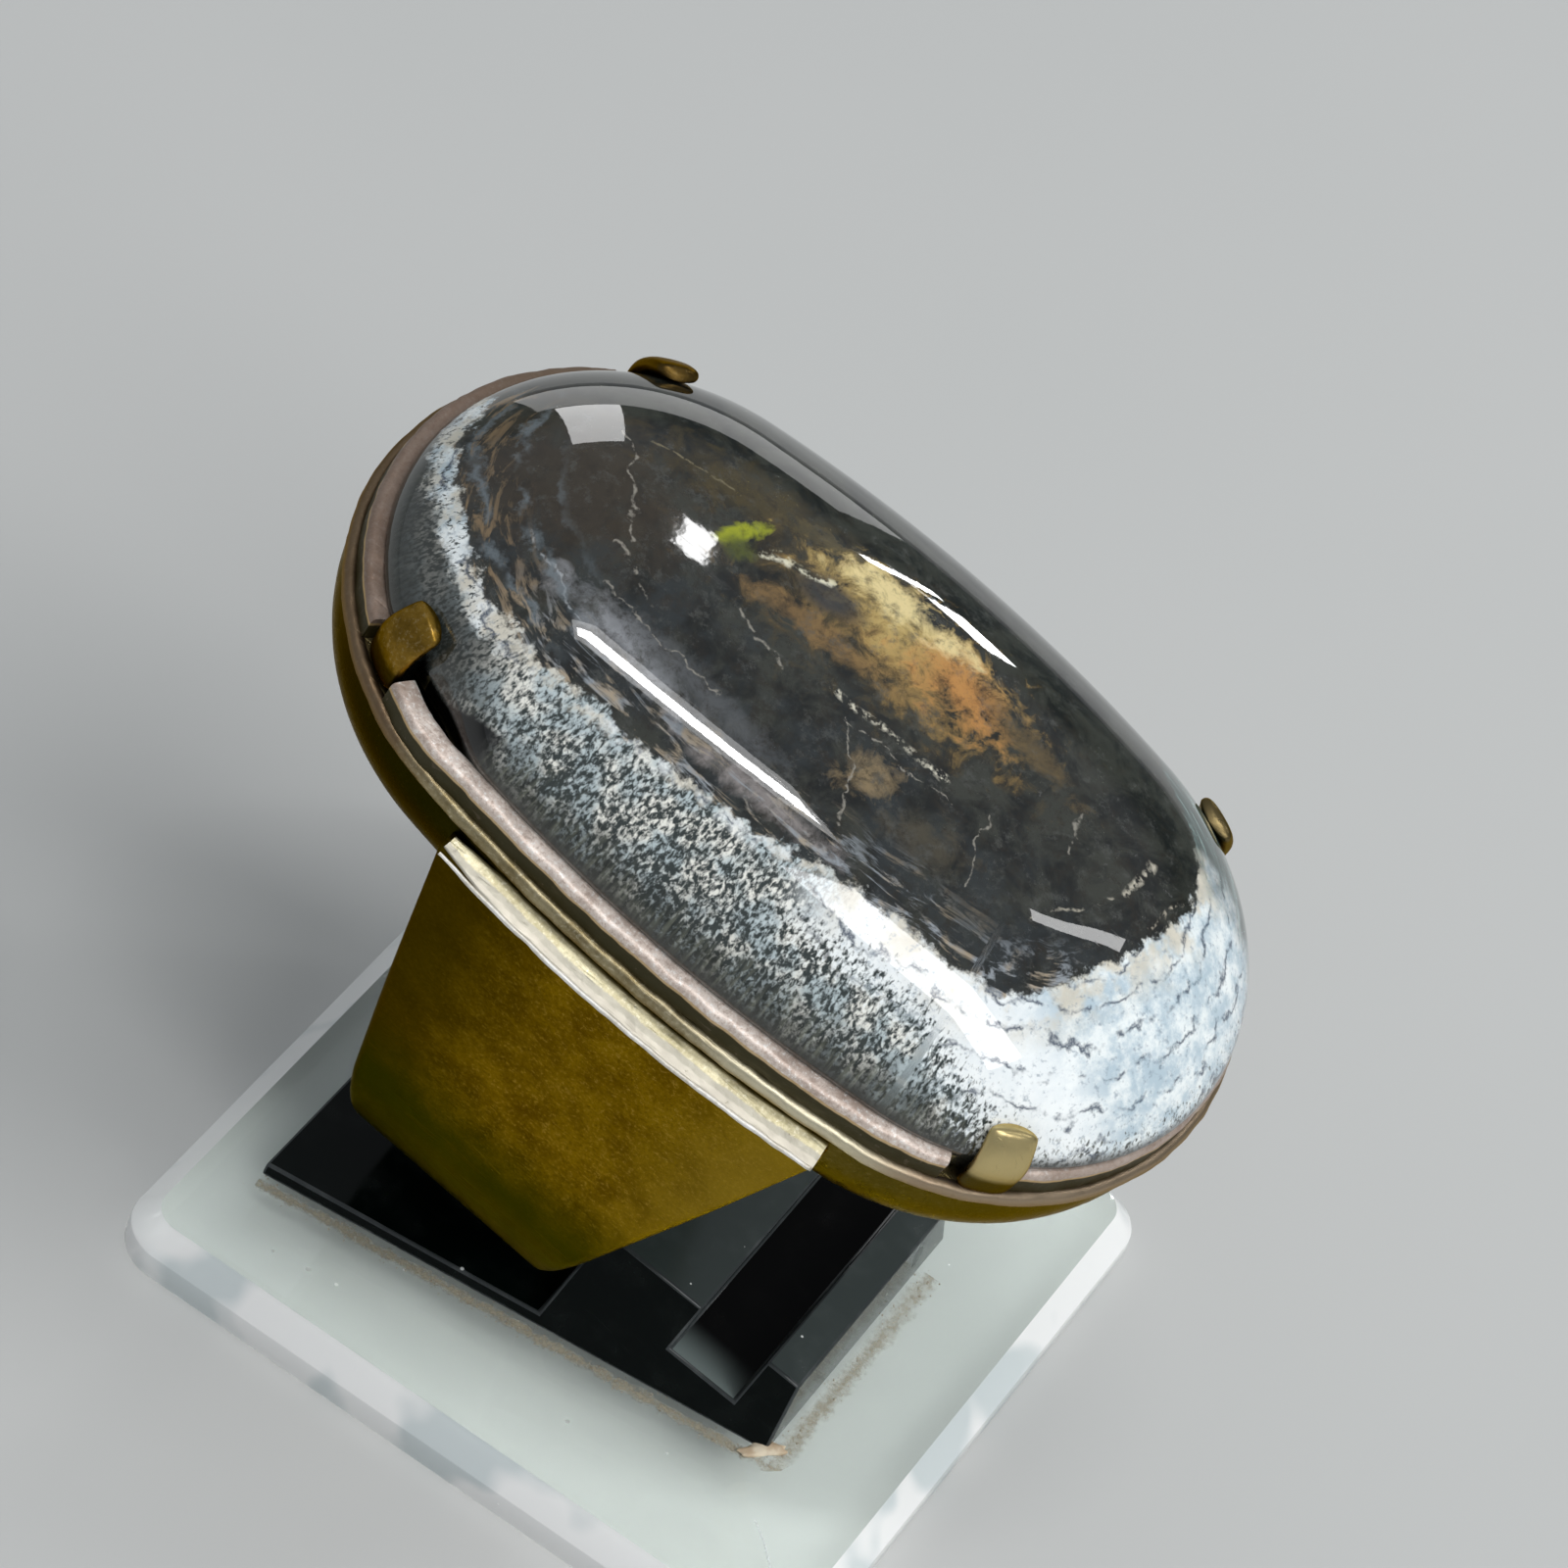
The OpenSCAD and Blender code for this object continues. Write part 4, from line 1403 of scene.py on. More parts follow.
@dataclass
class Stone:
    """The agate: a dome on a round-bottomed seat."""

    oval: Oval = field(default_factory=lambda: Oval(half_l=18.74))
    shift: float = 0.24
    foot_r: float = 9.95
    foot_z: float = 1.5
    dome_h: float = 6.3
    run: float = 8.15
    fall: float = 0.6
    crown: float = 0.3
    seat_centre: float = 6.7
    seat_height: float = -1.4
    seat_r: float = 2.4
    hollow: float = 0.62
    hollow_at: Flat = (-11.6, -8.7)
    around: int = 352
    up: int = 56
    core_edge: Tuple[Flat, ...] = (
        (-16.9, 2.0), (-16.6, -1.0), (-15.7, -2.9), (-14.0, -4.8), (-12.0, -6.4), (-9.5, -7.2),
        (-5, -7.35), (0, -7.2), (3.2, -6.5), (6, -6.2), (8.5, -6.1), (10.2, -5.6), (11.3, -4.4),
        (12, -2.8), (12.6, -1), (13.1, 0.8), (13.3, 2.6), (12.8, 4.2), (11.7, 5.6), (10.6, 6.6),
        (9.6, 7.6), (8.9, 9), (8.5, 13), (-20, 13), (-20, 4),
    )

    def depth_in_core(self, xy: np.ndarray) -> np.ndarray:
        """Distance inside the dark core's edge, seen in plan.

        Args:
            xy: rows of x and y.

        Returns:
            Millimetres, below nought outside.
        """
        poly = np.array(self.core_edge)
        best = np.full(len(xy), 1e9)
        inside = np.zeros(len(xy), bool)
        for a, b in zip(poly, np.roll(poly, -1, axis=0)):
            ab = b - a
            t = np.clip(((xy - a) @ ab) / (ab @ ab), 0, 1)
            best = np.minimum(best, np.linalg.norm(xy - (a + t[:, None] * ab), axis=1))
            with np.errstate(divide="ignore", invalid="ignore"):
                cross = (b[0] - a[0]) * (xy[:, 1] - a[1]) / (b[1] - a[1]) + a[0]
            inside ^= ((a[1] > xy[:, 1]) != (b[1] > xy[:, 1])) & (xy[:, 0] < cross)
        return np.where(inside, best, -best)

    def mesh(self, material: bpy.types.Material) -> bpy.types.Mesh:
        """The stone's skin, with its place on the wall and in the core kept on each point.

        Args:
            material: its finish.

        Returns:
            A closed mesh.
        """
        st = self.oval.stations(self.around)
        n = len(st)
        half = math.pi / 2
        angles = np.concatenate([np.linspace(-half, -0.02, 10), np.linspace(0, half, self.up)])
        rows = [np.column_stack([np.cos(st[:, 3]), np.sin(st[:, 3]), np.full(n, a)]) for a in angles]
        verts, faces = loft(rows)
        # centre, extra radius and length run of every point's station
        arcs = np.tile(st, (len(angles), 1))
        grid = bpy.data.meshes.new("dome_grid")
        grid.from_pydata([tuple(v) for v in verts], [], faces)
        carry(grid, DomeRule.SWEEP, arcs[:, :3])
        co = coordinates(DomeRule().apply(grid, {
            "Foot Radius": self.foot_r, "Foot Height": self.foot_z, "Run": self.run,
            "Top Height": self.dome_h, "Seat Centre": self.seat_centre, "Seat Height": self.seat_height,
            "Seat Radius": self.seat_r, "Fall": self.fall, "Crown": self.crown, "Shift": self.shift,
            "Hollow": self.hollow, "Hollow At": (*self.hollow_at, 0.0), "Finish": material,
        }))
        closed = bpy.data.meshes.new("stone")
        faces += mirror_caps(len(verts), n, self.oval.end_steps(st))
        closed.from_pydata([tuple(v) for v in co], [], faces)
        r = np.linalg.norm(co[:, :2] - np.array([self.shift, 0]) - arcs[:, :2], axis=1) - arcs[:, 2]
        inset = np.where(np.repeat(angles, n) >= 0, self.oval.end_r - r, 0.5)
        carry(closed, SKIN, np.column_stack([inset, arcs[:, 4], co[:, 2]]))
        carry(closed, CORE_EDGE, self.depth_in_core(co[:, :2]))
        turn_outwards(closed)
        return closed

    def build(self, maker: PieceMaker, shared: SharedGroups) -> None:
        """Makes and dresses the stone.

        Args:
            maker: places the piece.
            shared: effects in common.
        """
        finish = AgateFinish().build(shared)
        maker.add(STONE_NAME, self.mesh(finish), finish, Part.STONE, smooth=50)


@dataclass(frozen=True)
class ProngPlace:
    """Where one prong stands: end and side of the head, angle from its length, and how high it reaches."""

    name: str
    end: int
    side: int
    angle: float
    reach: float

    def direction(self) -> float:
        """Angle of the prong round the end arc's centre, in radians."""
        a = math.radians(self.angle)
        return self.side * a if self.end > 0 else math.pi - self.side * a


@dataclass
class Setting:
    """The metal: cup, ridge, rim, prongs and shank."""

    oval: Oval = field(default_factory=Oval)
    rim_h: float = 1.3
    rim_in: float = 0.81
    cup_d: float = 5.3
    corner_r: float = 3.9
    wall: float = 0.9
    band_r: float = 10.65
    band_t: float = 1.2
    hole_z: float = -14.8
    strip_y: float = 12.27
    strip_z: float = -1.3
    prong_w: float = 2.4
    prongs: Tuple[ProngPlace, ...] = (
        ProngPlace("near_left", -1, -1, 56, 3.7 / 14),
        ProngPlace("near_right", 1, -1, 55, 3.4 / 14),
        ProngPlace("far_left", -1, 1, 55, 5 / 14),
        ProngPlace("far_right", 1, 1, 66, 3 / 14),
    )
    # height, left edge and right edge of the band, from its foot up
    band_edges: Tuple[Place, ...] = (
        (-28, -3.6, 3.6), (-23, -4.2, 4.0), (-20, -4.95, 4.6), (-16.5, -5.55, 5.4), (-10.9, -6.35, 6.75),
        (-1.2, -7.7, 9.2),
    )

    def cup_profile(self) -> list:
        """End radius and height of each ring of the cup, from under its floor over its mouth to inside."""
        o, c = self.oval.end_r, self.corner_r
        cx, cz = o - 0.3 - c, c - self.cup_d
        quarter = math.pi / 2
        outer = [(cx + c * math.sin(a), cz - c * math.cos(a)) for a in np.linspace(0, quarter, 16)]
        bead = [(o - 0.3 + 0.16 * math.sin(a), -0.2 - 0.2 * math.cos(a)) for a in np.linspace(0.25, 2.7, 10)]
        c -= self.wall
        inner = [(cx + c * math.cos(a), cz - c * math.sin(a)) for a in np.linspace(0, quarter, 10)]
        lip = [(o - 0.42, 0.05), (o - 1.25, 0.05)]
        outside = [(0.8, -self.cup_d), *outer, (o - 0.3, -0.9), (o - 0.29, -0.62)]
        return outside + bead + lip + inner + [(0.8, self.wall - self.cup_d)]

    def cup_mesh(self) -> bpy.types.Mesh:
        """The cup under the stone."""
        st = self.oval.stations(256)
        n = len(st)
        rings = [np.column_stack([self.oval.ring(st, r), np.full(n, z)]) for r, z in self.cup_profile()]
        verts, faces = loft(rings)
        return new_mesh("cup", verts, faces + mirror_caps(len(verts), n, self.oval.end_steps(st)))

    def rim_paths(self) -> list:
        """Middle lines of the rim's four stretches between the prongs."""
        r = self.oval.end_r - self.rim_in
        pts = self.oval.ring(self.oval.stations(480), r)
        cut = np.zeros(len(pts), bool)
        for p in self.prongs:
            a = p.direction()
            root = np.array([p.end * self.oval.end_x, 0]) + r * np.array([math.cos(a), math.sin(a)])
            cut |= np.linalg.norm(pts - root, axis=1) < self.prong_w / 2 - 0.1
        # the rim stands off the stone a little beside the near left prong
        off = 0.24 * np.exp(-(((pts[:, 0] + 10.2) / 2.0) ** 2)) * (pts[:, 1] < 0)
        pts = pts * (1 + off / np.linalg.norm(pts, axis=1))[:, None]
        # turned so that a free stretch comes first, the free and the cut ones then alternate
        first = int(np.argmax(cut & ~np.roll(cut, -1))) + 1
        cut = np.roll(cut, -first)
        changes = np.flatnonzero(cut[1:] != cut[:-1]) + 1
        return np.split(np.roll(pts, -first, axis=0), changes)[::2]

    def rim_mesh(self, sweep: TrimSweep, material: bpy.types.Material) -> bpy.types.Mesh:
        """The rim's stretches, swept along their paths."""
        paths = [[(x, y, self.rim_h - 0.75) for x, y in path] for path in self.rim_paths()]
        bar = Bar(width=0.92, height=1.45, fillet=0.2, step=0.18, dent=0.22, seed=3.0)
        return sweep.follow(path_mesh(paths), bar, material)

    def ridge_mesh(self, sweep: TrimSweep, material: bpy.types.Material) -> bpy.types.Mesh:
        """The ridge round the cup's mouth."""
        path = [(x, y, -0.2) for x, y in self.oval.ring(self.oval.stations(480), self.oval.end_r - 0.29)]
        bar = Bar(width=0.56, height=0.66, fillet=0.25, step=0.2, dent=0.16, dent_scale=0.8, seed=8.0)
        return sweep.follow(path_mesh([path], closed=True), bar, material)

    def ledge_line(self, side: int, back: float, z: float) -> bpy.types.Mesh:
        """A line along the top of a shoulder of the shank.

        Args:
            side: -1 for the near shoulder, 1 for the far one.
            back: distance in from the shoulder's outer edge.
            z: the line's height.

        Returns:
            A mesh of edges.
        """
        bend = self.strip_y - back + self.oval.side_y
        xs = np.linspace(-7.55, 9.1, 60)
        ys = (np.sqrt(bend * bend - xs * xs) - self.oval.side_y) * side
        return path_mesh([[(x, y, z) for x, y in zip(xs, ys)]])

    def claw_line(self, place: ProngPlace, stone: Stone) -> np.ndarray:
        """The inner line of a prong, from the cup's mouth up over the dome's shoulder.

        Args:
            place: where it stands.
            stone: what it holds.

        Returns:
            Rows of distance from the end arc's centre and height.
        """
        line = [(self.oval.end_r - 1.0, 0.0), (self.oval.end_r - 0.98, 0.7)]
        for a in np.linspace(0, math.pi / 2 * place.reach, 9):
            r = stone.foot_r - stone.run * (1 - math.cos(a) ** DomeRule.POWER_IN)
            z = stone.foot_z + (stone.dome_h - stone.foot_z) * math.sin(a) ** DomeRule.POWER_UP
            line.append((r, z))
        return np.array(line)

    def prong_mesh(self, place: ProngPlace, stone: Stone) -> bpy.types.Mesh:
        """One claw, with a rounded tip.

        Args:
            place: where it stands.
            stone: what it holds.

        Returns:
            Its mesh.
        """
        line = self.claw_line(place, stone)
        tangent = np.gradient(line, axis=0)
        tangent /= np.linalg.norm(tangent, axis=1)[:, None]
        a = place.direction()
        start = np.array([stone.oval.end_x * place.end + stone.shift, 0.0])
        away, aside = np.array([math.cos(a), math.sin(a)]), np.array([-math.sin(a), math.cos(a)])
        last = len(line) - 1
        # the tip closes in steps: share of the full section, and way past the line's end
        steps = [(i, 1.0, 0.0) for i in range(last + 1)]
        steps += [(last, 0.9, 0.14), (last, 0.6, 0.24), (last, 0.15, 0.28)]
        rings = []
        for i, close, past in steps:
            widths = (0.45, 0.8, self.prong_w / 2 - 0.2)
            half = float(np.interp(line[i][0], (7.9, 8.7, 9.85), widths)) * close
            thick = (0.62 + 0.12 * math.sin(math.pi * (i / last))) * (0.35 + 0.65 * close)
            centre = line[i] + tangent[i] * past
            outward = np.array([tangent[i][1], -tangent[i][0]])
            ring = []
            for t in 2 * math.pi * np.arange(16) / 16:
                across = half * np.sign(math.cos(t)) * abs(math.cos(t)) ** 0.7
                out = thick * (0.5 + 0.5 * np.sign(math.sin(t)) * abs(math.sin(t)) ** 0.8) - 0.04
                p = centre + outward * out
                ring.append((*(start + away * p[0] + aside * across), p[1]))
            rings.append(np.array(ring))
        return capped_loft("prong", rings)

    def band_line(self, count: int) -> Tuple[np.ndarray, np.ndarray]:
        """Outer line of the shank seen along the finger hole, from the near strip round to the far one.

        Args:
            count: points in each straight shoulder; the round part gets three times as many.

        Returns:
            Rows of y and z, and the outward directions.
        """
        start, hole = np.array([self.strip_y, self.strip_z]), np.array([0.0, self.hole_z])
        rise = self.strip_z - self.hole_z
        a0 = math.atan2(rise, self.strip_y) - math.acos(self.band_r / math.hypot(self.strip_y, rise))
        turns = np.linspace(a0, -math.pi - a0, 3 * count)
        arc = hole + self.band_r * np.stack([np.cos(turns), np.sin(turns)], 1)
        d = arc[0] - start
        side = start + d * np.linspace(0, 1, count, endpoint=False)[:, None]
        pts = np.vstack([side, arc, side[::-1] * [-1, 1]]) * [-1, 1]
        # outward across the straight shoulders, and away from the hole's middle on the round part
        flank = np.array([-d[1], d[0]]) / np.linalg.norm(d)
        radial = (pts - hole) / np.linalg.norm(pts - hole, axis=1)[:, None]
        shoulder = np.stack([np.copysign(flank[0], pts[:, 0]), np.full(len(pts), flank[1])], 1)
        return pts, np.where(pts[:, 1:] > arc[0][1], shoulder, radial)

    def shank_mesh(self) -> bpy.types.Mesh:
        """The shank, lofted round the finger."""
        pts, normals = self.band_line(22)
        zs, left, right = np.array(self.band_edges).T
        bend = self.strip_y + self.oval.side_y
        rings = []
        for p, outward in zip(pts, normals):
            top = min(max((p[1] + 12.0) / 10.7, 0.0), 1.0)
            top = top * top * (3 - 2 * top)
            thick = self.band_t + 0.7 * min(max((p[1] + 4.4) / 1.5, 0.0), 1.0)
            ring = []
            for x, depth in self.band_section(
                np.interp(p[1], zs, left), np.interp(p[1], zs, right), thick, 0.38 - 0.24 * top
            ):
                sag = top * (bend - math.sqrt(bend * bend - x * x))
                q = p - outward * depth
                ring.append((x, q[0] - math.copysign(sag, p[0]), q[1]))
            rings.append(np.array(ring))
        return capped_loft("shank", rings)

    @staticmethod
    def band_section(xl: float, xr: float, thick: float, soft: float) -> list:
        """A rounded bar across the band.

        Args:
            xl: its left edge.
            xr: its right edge.
            thick: its thickness.
            soft: radius of its two outer corners.

        Returns:
            Pairs of x and depth under the outer face.
        """
        inner = 0.15
        corners = (
            (xl + soft, soft, soft, 1.0), (xr - soft, soft, soft, 1.5),
            (xr - inner, thick - inner, inner, 0.0), (xl + inner, thick - inner, inner, 0.5),
        )
        pts = []
        for x, depth, r, quarter in corners:
            for a in np.linspace(quarter * math.pi, (quarter + 0.5) * math.pi, 5):
                pts.append((x + r * math.cos(a), depth + r * math.sin(a)))
        # the two long sides get points in between
        out = []
        for p, q in zip(pts, pts[1:] + pts[:1]):
            out.append(p)
            if abs(q[0] - p[0]) > 2:
                for f in np.linspace(0, 1, 15)[1:-1]:
                    out.append((p[0] + (q[0] - p[0]) * f, p[1] + (q[1] - p[1]) * f))
        return out

    def build(self, maker: PieceMaker, shared: SharedGroups, sweep: TrimSweep, stone: Stone) -> None:
        """Makes and dresses the metal.

        Args:
            maker: places the pieces.
            shared: effects in common.
            sweep: the tree that follows a line.
            stone: what the prongs hold.
        """
        finishes = (SHANK_BRASS, CUP_BRASS, RIM_METAL, RIDGE_METAL, LEDGE_WEAR_AND_SHADE, PAINTED_HIGHLIGHT_BEAD, PRONG_BRASS)
        brass, cup, rim, ridge, ledge_wear_and_shade, bright, claw = [finish.build(shared) for finish in finishes]
        maker.add("ring_shank", self.shank_mesh(), brass, Part.SETTING, smooth=35)
        maker.add("ring_cup", self.cup_mesh(), cup, Part.SETTING, smooth=50)
        maker.add("ring_rim", self.rim_mesh(sweep, rim), rim, Part.SETTING)
        maker.add("cup_ridge", self.ridge_mesh(sweep, ridge), ridge, Part.SETTING)
        for side, name in ((-1, "near"), (1, "far")):
            seed, tilt = 5.0 + side, side * -0.38
            ledge = Bar(
                width=1.2, height=0.36, fillet=0.07, step=0.2, dent=0.16, dent_scale=0.9, seed=seed,
                taper=0.5, tilt=tilt,
            )
            bead = replace(ledge, width=0.15, height=0.26, dent=0.14, taper=0.8)
            mesh = sweep.follow(self.ledge_line(side, 0.62, -1.2), ledge, ledge_wear_and_shade)
            maker.add("shoulder_ledge_" + name, mesh, ledge_wear_and_shade, Part.SETTING)
            # the bead's near-white colour is a painted highlight along the shoulder's edge
            mesh = sweep.follow(self.ledge_line(side, 0.05, -1.3), bead, bright)
            maker.add("shoulder_edge_" + name, mesh, bright, Part.SETTING)
        for place in self.prongs:
            obj = maker.add("prong_" + place.name, self.prong_mesh(place, stone), claw, Part.SETTING)
            sub = obj.modifiers.new("soften", "SUBSURF")
            sub.levels = sub.render_levels = 2


# The stand


@dataclass
class Plate:
    """The clear plate with bevelled sides."""

    side: float = 30.0
    height: float = 2.1
    bevel_w: float = 0.95
    bevel_h: float = 1.0
    corner: float = 2.0

    def loop(self, inset: float, z: float) -> np.ndarray:
        """A rounded square.

        Args:
            inset: how far it lies in from the plate's sides.
            z: its height.

        Returns:
            Its points.
        """
        r = self.corner - inset * 0.9
        c = self.side / 2 - inset - r
        rows = []
        for quarter, (cx, cy) in enumerate(((c, c), (-c, c), (-c, -c), (c, -c))):
            a0 = quarter * math.pi / 2
            for a in np.linspace(a0, a0 + math.pi / 2, 13):
                rows.append((cx + r * math.cos(a), cy + r * math.sin(a), z))
        return np.array(rows)

    def build(self, maker: PieceMaker, shared: SharedGroups) -> None:
        """Makes and dresses the plate.

        Args:
            maker: places the piece.
            shared: effects in common.
        """
        low, top, edge = self.height - self.bevel_h, self.height, self.bevel_w
        steps = (
            (0.42, 0.0), (0.12, 0.0), (0.03, 0.03), (0.0, 0.12), (0.0, low - 0.1), (0.03, low + 0.02),
            (0.1, low + 0.12), (edge - 0.1, top - 0.12), (edge - 0.02, top - 0.03), (edge + 0.1, top),
            (edge + 0.3, top),
        )
        mesh = capped_loft("plate", [self.loop(inset, z) for inset, z in steps])
        top_finish = ClearFinish("clear_plastic").build(shared)
        side_finish = ClearFinish("polished_side", tint=(1.0, 1.0, 0.99), frost=True).build(shared)
        obj = maker.add("clear_plate", mesh, top_finish, Part.BASE, smooth=20)
        obj.data.materials.append(side_finish)
        for face in obj.data.polygons:
            face.material_index = int(abs(face.normal.z) < 0.97)


@dataclass
class Holder:
    """The black holder: low floor, tall wall, narrow slot, second wall."""

    foot_z: float = 2.15
    floor_z: float = 2.6
    left: float = -12.0
    right: float = 9.42
    wall_x: float = -0.2
    wall_z: float = 6.5
    slot_x: float = 4.74
    slot_w: float = 3.1
    slot_d: float = 1.9
    slant: float = 10.0
    lean: float = 25.0
    yaw: float = 6.9
    foot_y: float = 8.3

    def side_view(self) -> list:
        """Outline across the slots, as x and z."""
        t = math.radians(self.slant)
        fall = math.tan(t)
        deep = np.array([-self.slot_d * math.sin(t), -self.slot_d * math.cos(t)])
        a = np.array([self.slot_x, self.wall_z - fall * (self.slot_x - self.wall_x)])
        bx = self.slot_x + self.slot_w * math.cos(t)
        b = np.array([bx, self.wall_z - fall * (bx - self.wall_x)])
        end = (self.right - 0.15, self.wall_z - fall * (self.right - 0.15 - self.wall_x))
        pts = [(self.left, self.foot_z), (self.right, self.foot_z), end, b, b + deep, a + deep, a]
        pts += [(self.wall_x + 0.45, self.wall_z - 0.45 * fall), (self.wall_x - 0.22, self.floor_z)]
        pts.append((self.left, self.floor_z))
        return [tuple(p) for p in pts]

    def body_mesh(self) -> bpy.types.Mesh:
        """The holder's side view drawn out and sawn off at a slant at both ends."""
        bm = bmesh.new()
        face = bm.faces.new([bm.verts.new((x, -14, z)) for x, z in self.side_view()])
        grown = bmesh.ops.extrude_face_region(bm, geom=[face])
        moved = [v for v in grown["geom"] if isinstance(v, bmesh.types.BMVert)]
        bmesh.ops.translate(bm, verts=moved, vec=(0, 28, 0))
        yaw, lean = math.radians(self.yaw), math.radians(-self.lean)
        out = Matrix.Rotation(yaw, 3, "Z") @ Matrix.Rotation(lean, 3, "X") @ Vector((0, -1, 0))
        for side in (-1, 1):
            at = Vector(((self.left + self.right) / 2, side * self.foot_y, self.foot_z))
            cut = bmesh.ops.bisect_plane(
                bm, geom=bm.verts[:] + bm.edges[:] + bm.faces[:], plane_co=at,
                plane_no=Vector((out.x, out.y * -side, out.z)), clear_outer=True,
            )
            edges = [e for e in cut["geom_cut"] if isinstance(e, bmesh.types.BMEdge)]
            bmesh.ops.contextual_create(bm, geom=edges)
        bmesh.ops.recalc_face_normals(bm, faces=bm.faces)
        mesh = bpy.data.meshes.new("holder")
        bm.to_mesh(mesh)
        bm.free()
        return mesh

    def build(self, maker: PieceMaker, shared: SharedGroups) -> None:
        """Makes and dresses the holder.

        Args:
            maker: places the piece.
            shared: effects in common.
        """
        body, *others = [finish.build(shared) for finish in (
            BlackFinish("black_plastic"),
            # painted highlight: a lighter copy of the black for the bevelled edges
            BlackFinish("black_worn_edge", (0.03, 0.035, 0.036), (0.12, 0.13, 0.13)),
            # painted shade: the slot is painted near black, with a painted lit patch at the near end of its
            # floor
            BlackFinish("black_slot", (0.001, 0.001, 0.001), (0.002, 0.002, 0.002), gloss=0.06, lit_end=True),
            # painted shade: a darker copy of the black for the sides and the low floor
            BlackFinish("black_side", (0.001, 0.0025, 0.002), (0.008, 0.011, 0.01), gloss=0.12),
        )]
        worn_edge, slot, painted_shade_side = 1, 2, 3
        obj = maker.add("black_holder", self.body_mesh(), body, Part.BLOCK, smooth=30)
        for other in others:
            obj.data.materials.append(other)
        fall = math.tan(math.radians(self.slant))
        for face in obj.data.polygons:
            c = face.center / MM
            below = self.wall_z - fall * (c.x - self.wall_x) - c.z
            by_slot = self.slot_x - 0.8 < c.x < self.slot_x + self.slot_w + 0.4
            # faces inside the slot get the painted shade
            if by_slot and below > 0.3 and c.z > 3.0 and abs(c.y) < 4:
                face.material_index = slot
            # the sides and the low floor get the painted shade
            elif abs(face.normal.y) > 0.5 or c.z < self.floor_z + 0.1:
                face.material_index = painted_shade_side
        bevel = obj.modifiers.new("edges", "BEVEL")
        bevel.width = 0.1 * MM
        bevel.segments = 2
        # the bevel's faces carry the painted highlight
        bevel.material = worn_edge
        bevel.limit_method = "ANGLE"
        bevel.angle_limit = math.radians(25)


class DustLine(GeoSketch):
    """Small grains strewn along a line."""

    def __init__(self) -> None:
        """Builds the tree."""
        super().__init__("dust_line", ("Step", "Spread", "Smallest", "Largest"), {"Seed": "Int"})
        given = self.given
        curve = self.node("GeometryNodeMeshToCurve", {"Mesh": given["Geometry"]}).outputs[0]
        spaced = {"Curve": curve, "Length": given["Step"]}
        spots = self.node("GeometryNodeCurveToPoints", spaced, mode="LENGTH").outputs[0]
        box = {0: (-1, -1, 0), 1: (1, 1, 0), "Seed": given["Seed"]}
        way = self.node("FunctionNodeRandomValue", box, data_type="FLOAT_VECTOR").outputs[0]
        shifted = {"Geometry": spots, "Offset": self.scaled(way, given["Spread"])}
        strewn = self.node("GeometryNodeSetPosition", shifted).outputs[0]
        sizes = {2: given["Smallest"], 3: given["Largest"], "Seed": given["Seed"]}
        size = self.node("FunctionNodeRandomValue", sizes, data_type="FLOAT").outputs[1]
        grain = self.node("GeometryNodeMeshIcoSphere", {"Radius": 1.0, "Subdivisions": 1}).outputs[0]
        placed = {"Points": strewn, "Instance": grain, "Scale": size}
        self.finish(self.node("GeometryNodeInstanceOnPoints", placed).outputs[0])


@dataclass
class Residue:
    """What is stuck to the plate: dust along the holder's foot, a spot of glue and a scratch."""

    top: float = 2.1
    foot: Tuple[Flat, ...] = ((-11.9, -10.0), (8.9, -7.56), (9.7, -7.1), (9.95, -6.3), (9.95, 5.0))
    scratch: Tuple[Flat, ...] = ((10.7, -9.95), (11.5, -10.6), (12.3, -11.4))
    glue_at: Flat = (9.35, -6.95)

    def line(self, points: Sequence[Flat], lift: float) -> bpy.types.Mesh:
        """A line of edges, lifted a little over the plate."""
        return path_mesh([[(x, y, self.top + lift) for x, y in points]])

    def glue_mesh(self) -> bpy.types.Mesh:
        """A low lump."""
        bm = bmesh.new()
        bmesh.ops.create_icosphere(bm, subdivisions=3, radius=1.0)
        turn = Matrix.Rotation(math.radians(48), 3, "Z")
        for v in bm.verts:
            lump = 1 + 0.16 * math.sin(5 * v.co.x + 2 * v.co.y) + 0.1 * math.sin(9 * v.co.y)
            v.co = turn @ Vector((v.co.x * 0.95 * lump, v.co.y * 0.34 * lump, v.co.z * 0.16))
            v.co += Vector((*self.glue_at, self.top + 0.1))
        mesh = bpy.data.meshes.new("glue")
        bm.to_mesh(mesh)
        bm.free()
        return mesh

    def build(self, maker: PieceMaker, sweep: TrimSweep) -> None:
        """Makes and dresses the residue.

        Args:
            maker: places the pieces.
            sweep: the tree that follows a line.
        """
        strew = DustLine()
        dust = MatteFinish("dust", (0.42, 0.38, 0.3), (0.24, 0.2, 0.14)).build()
        values = {"Step": 0.13, "Spread": 0.5, "Smallest": 0.015, "Largest": 0.05, "Seed": 4, "Finish": dust}
        maker.add("foot_dust", strew.apply(self.line(self.foot, 0.01), values), dust, Part.BASE)
        film = FilmFinish("dust_film").build()
        strip = Bar(width=1.3, height=0.02, fillet=0.006, step=0.4)
        maker.add("dust_film", sweep.follow(self.line(self.foot, 0.012), strip, film), film, Part.BASE)
        glue = MatteFinish("glue", (0.78, 0.68, 0.52), (0.55, 0.42, 0.28)).build()
        maker.add("glue_spot", self.glue_mesh(), glue, Part.BASE)
        white = MatteFinish("scratch_white", (0.9, 0.93, 0.92), (0.8, 0.84, 0.84)).build()
        values = {
            "Step": 0.02, "Spread": 0.04, "Smallest": 0.012, "Largest": 0.03, "Seed": 9, "Finish": white,
        }
        maker.add("plate_scratch", strew.apply(self.line(self.scratch, 0.0), values), white, Part.BASE)


# Studio


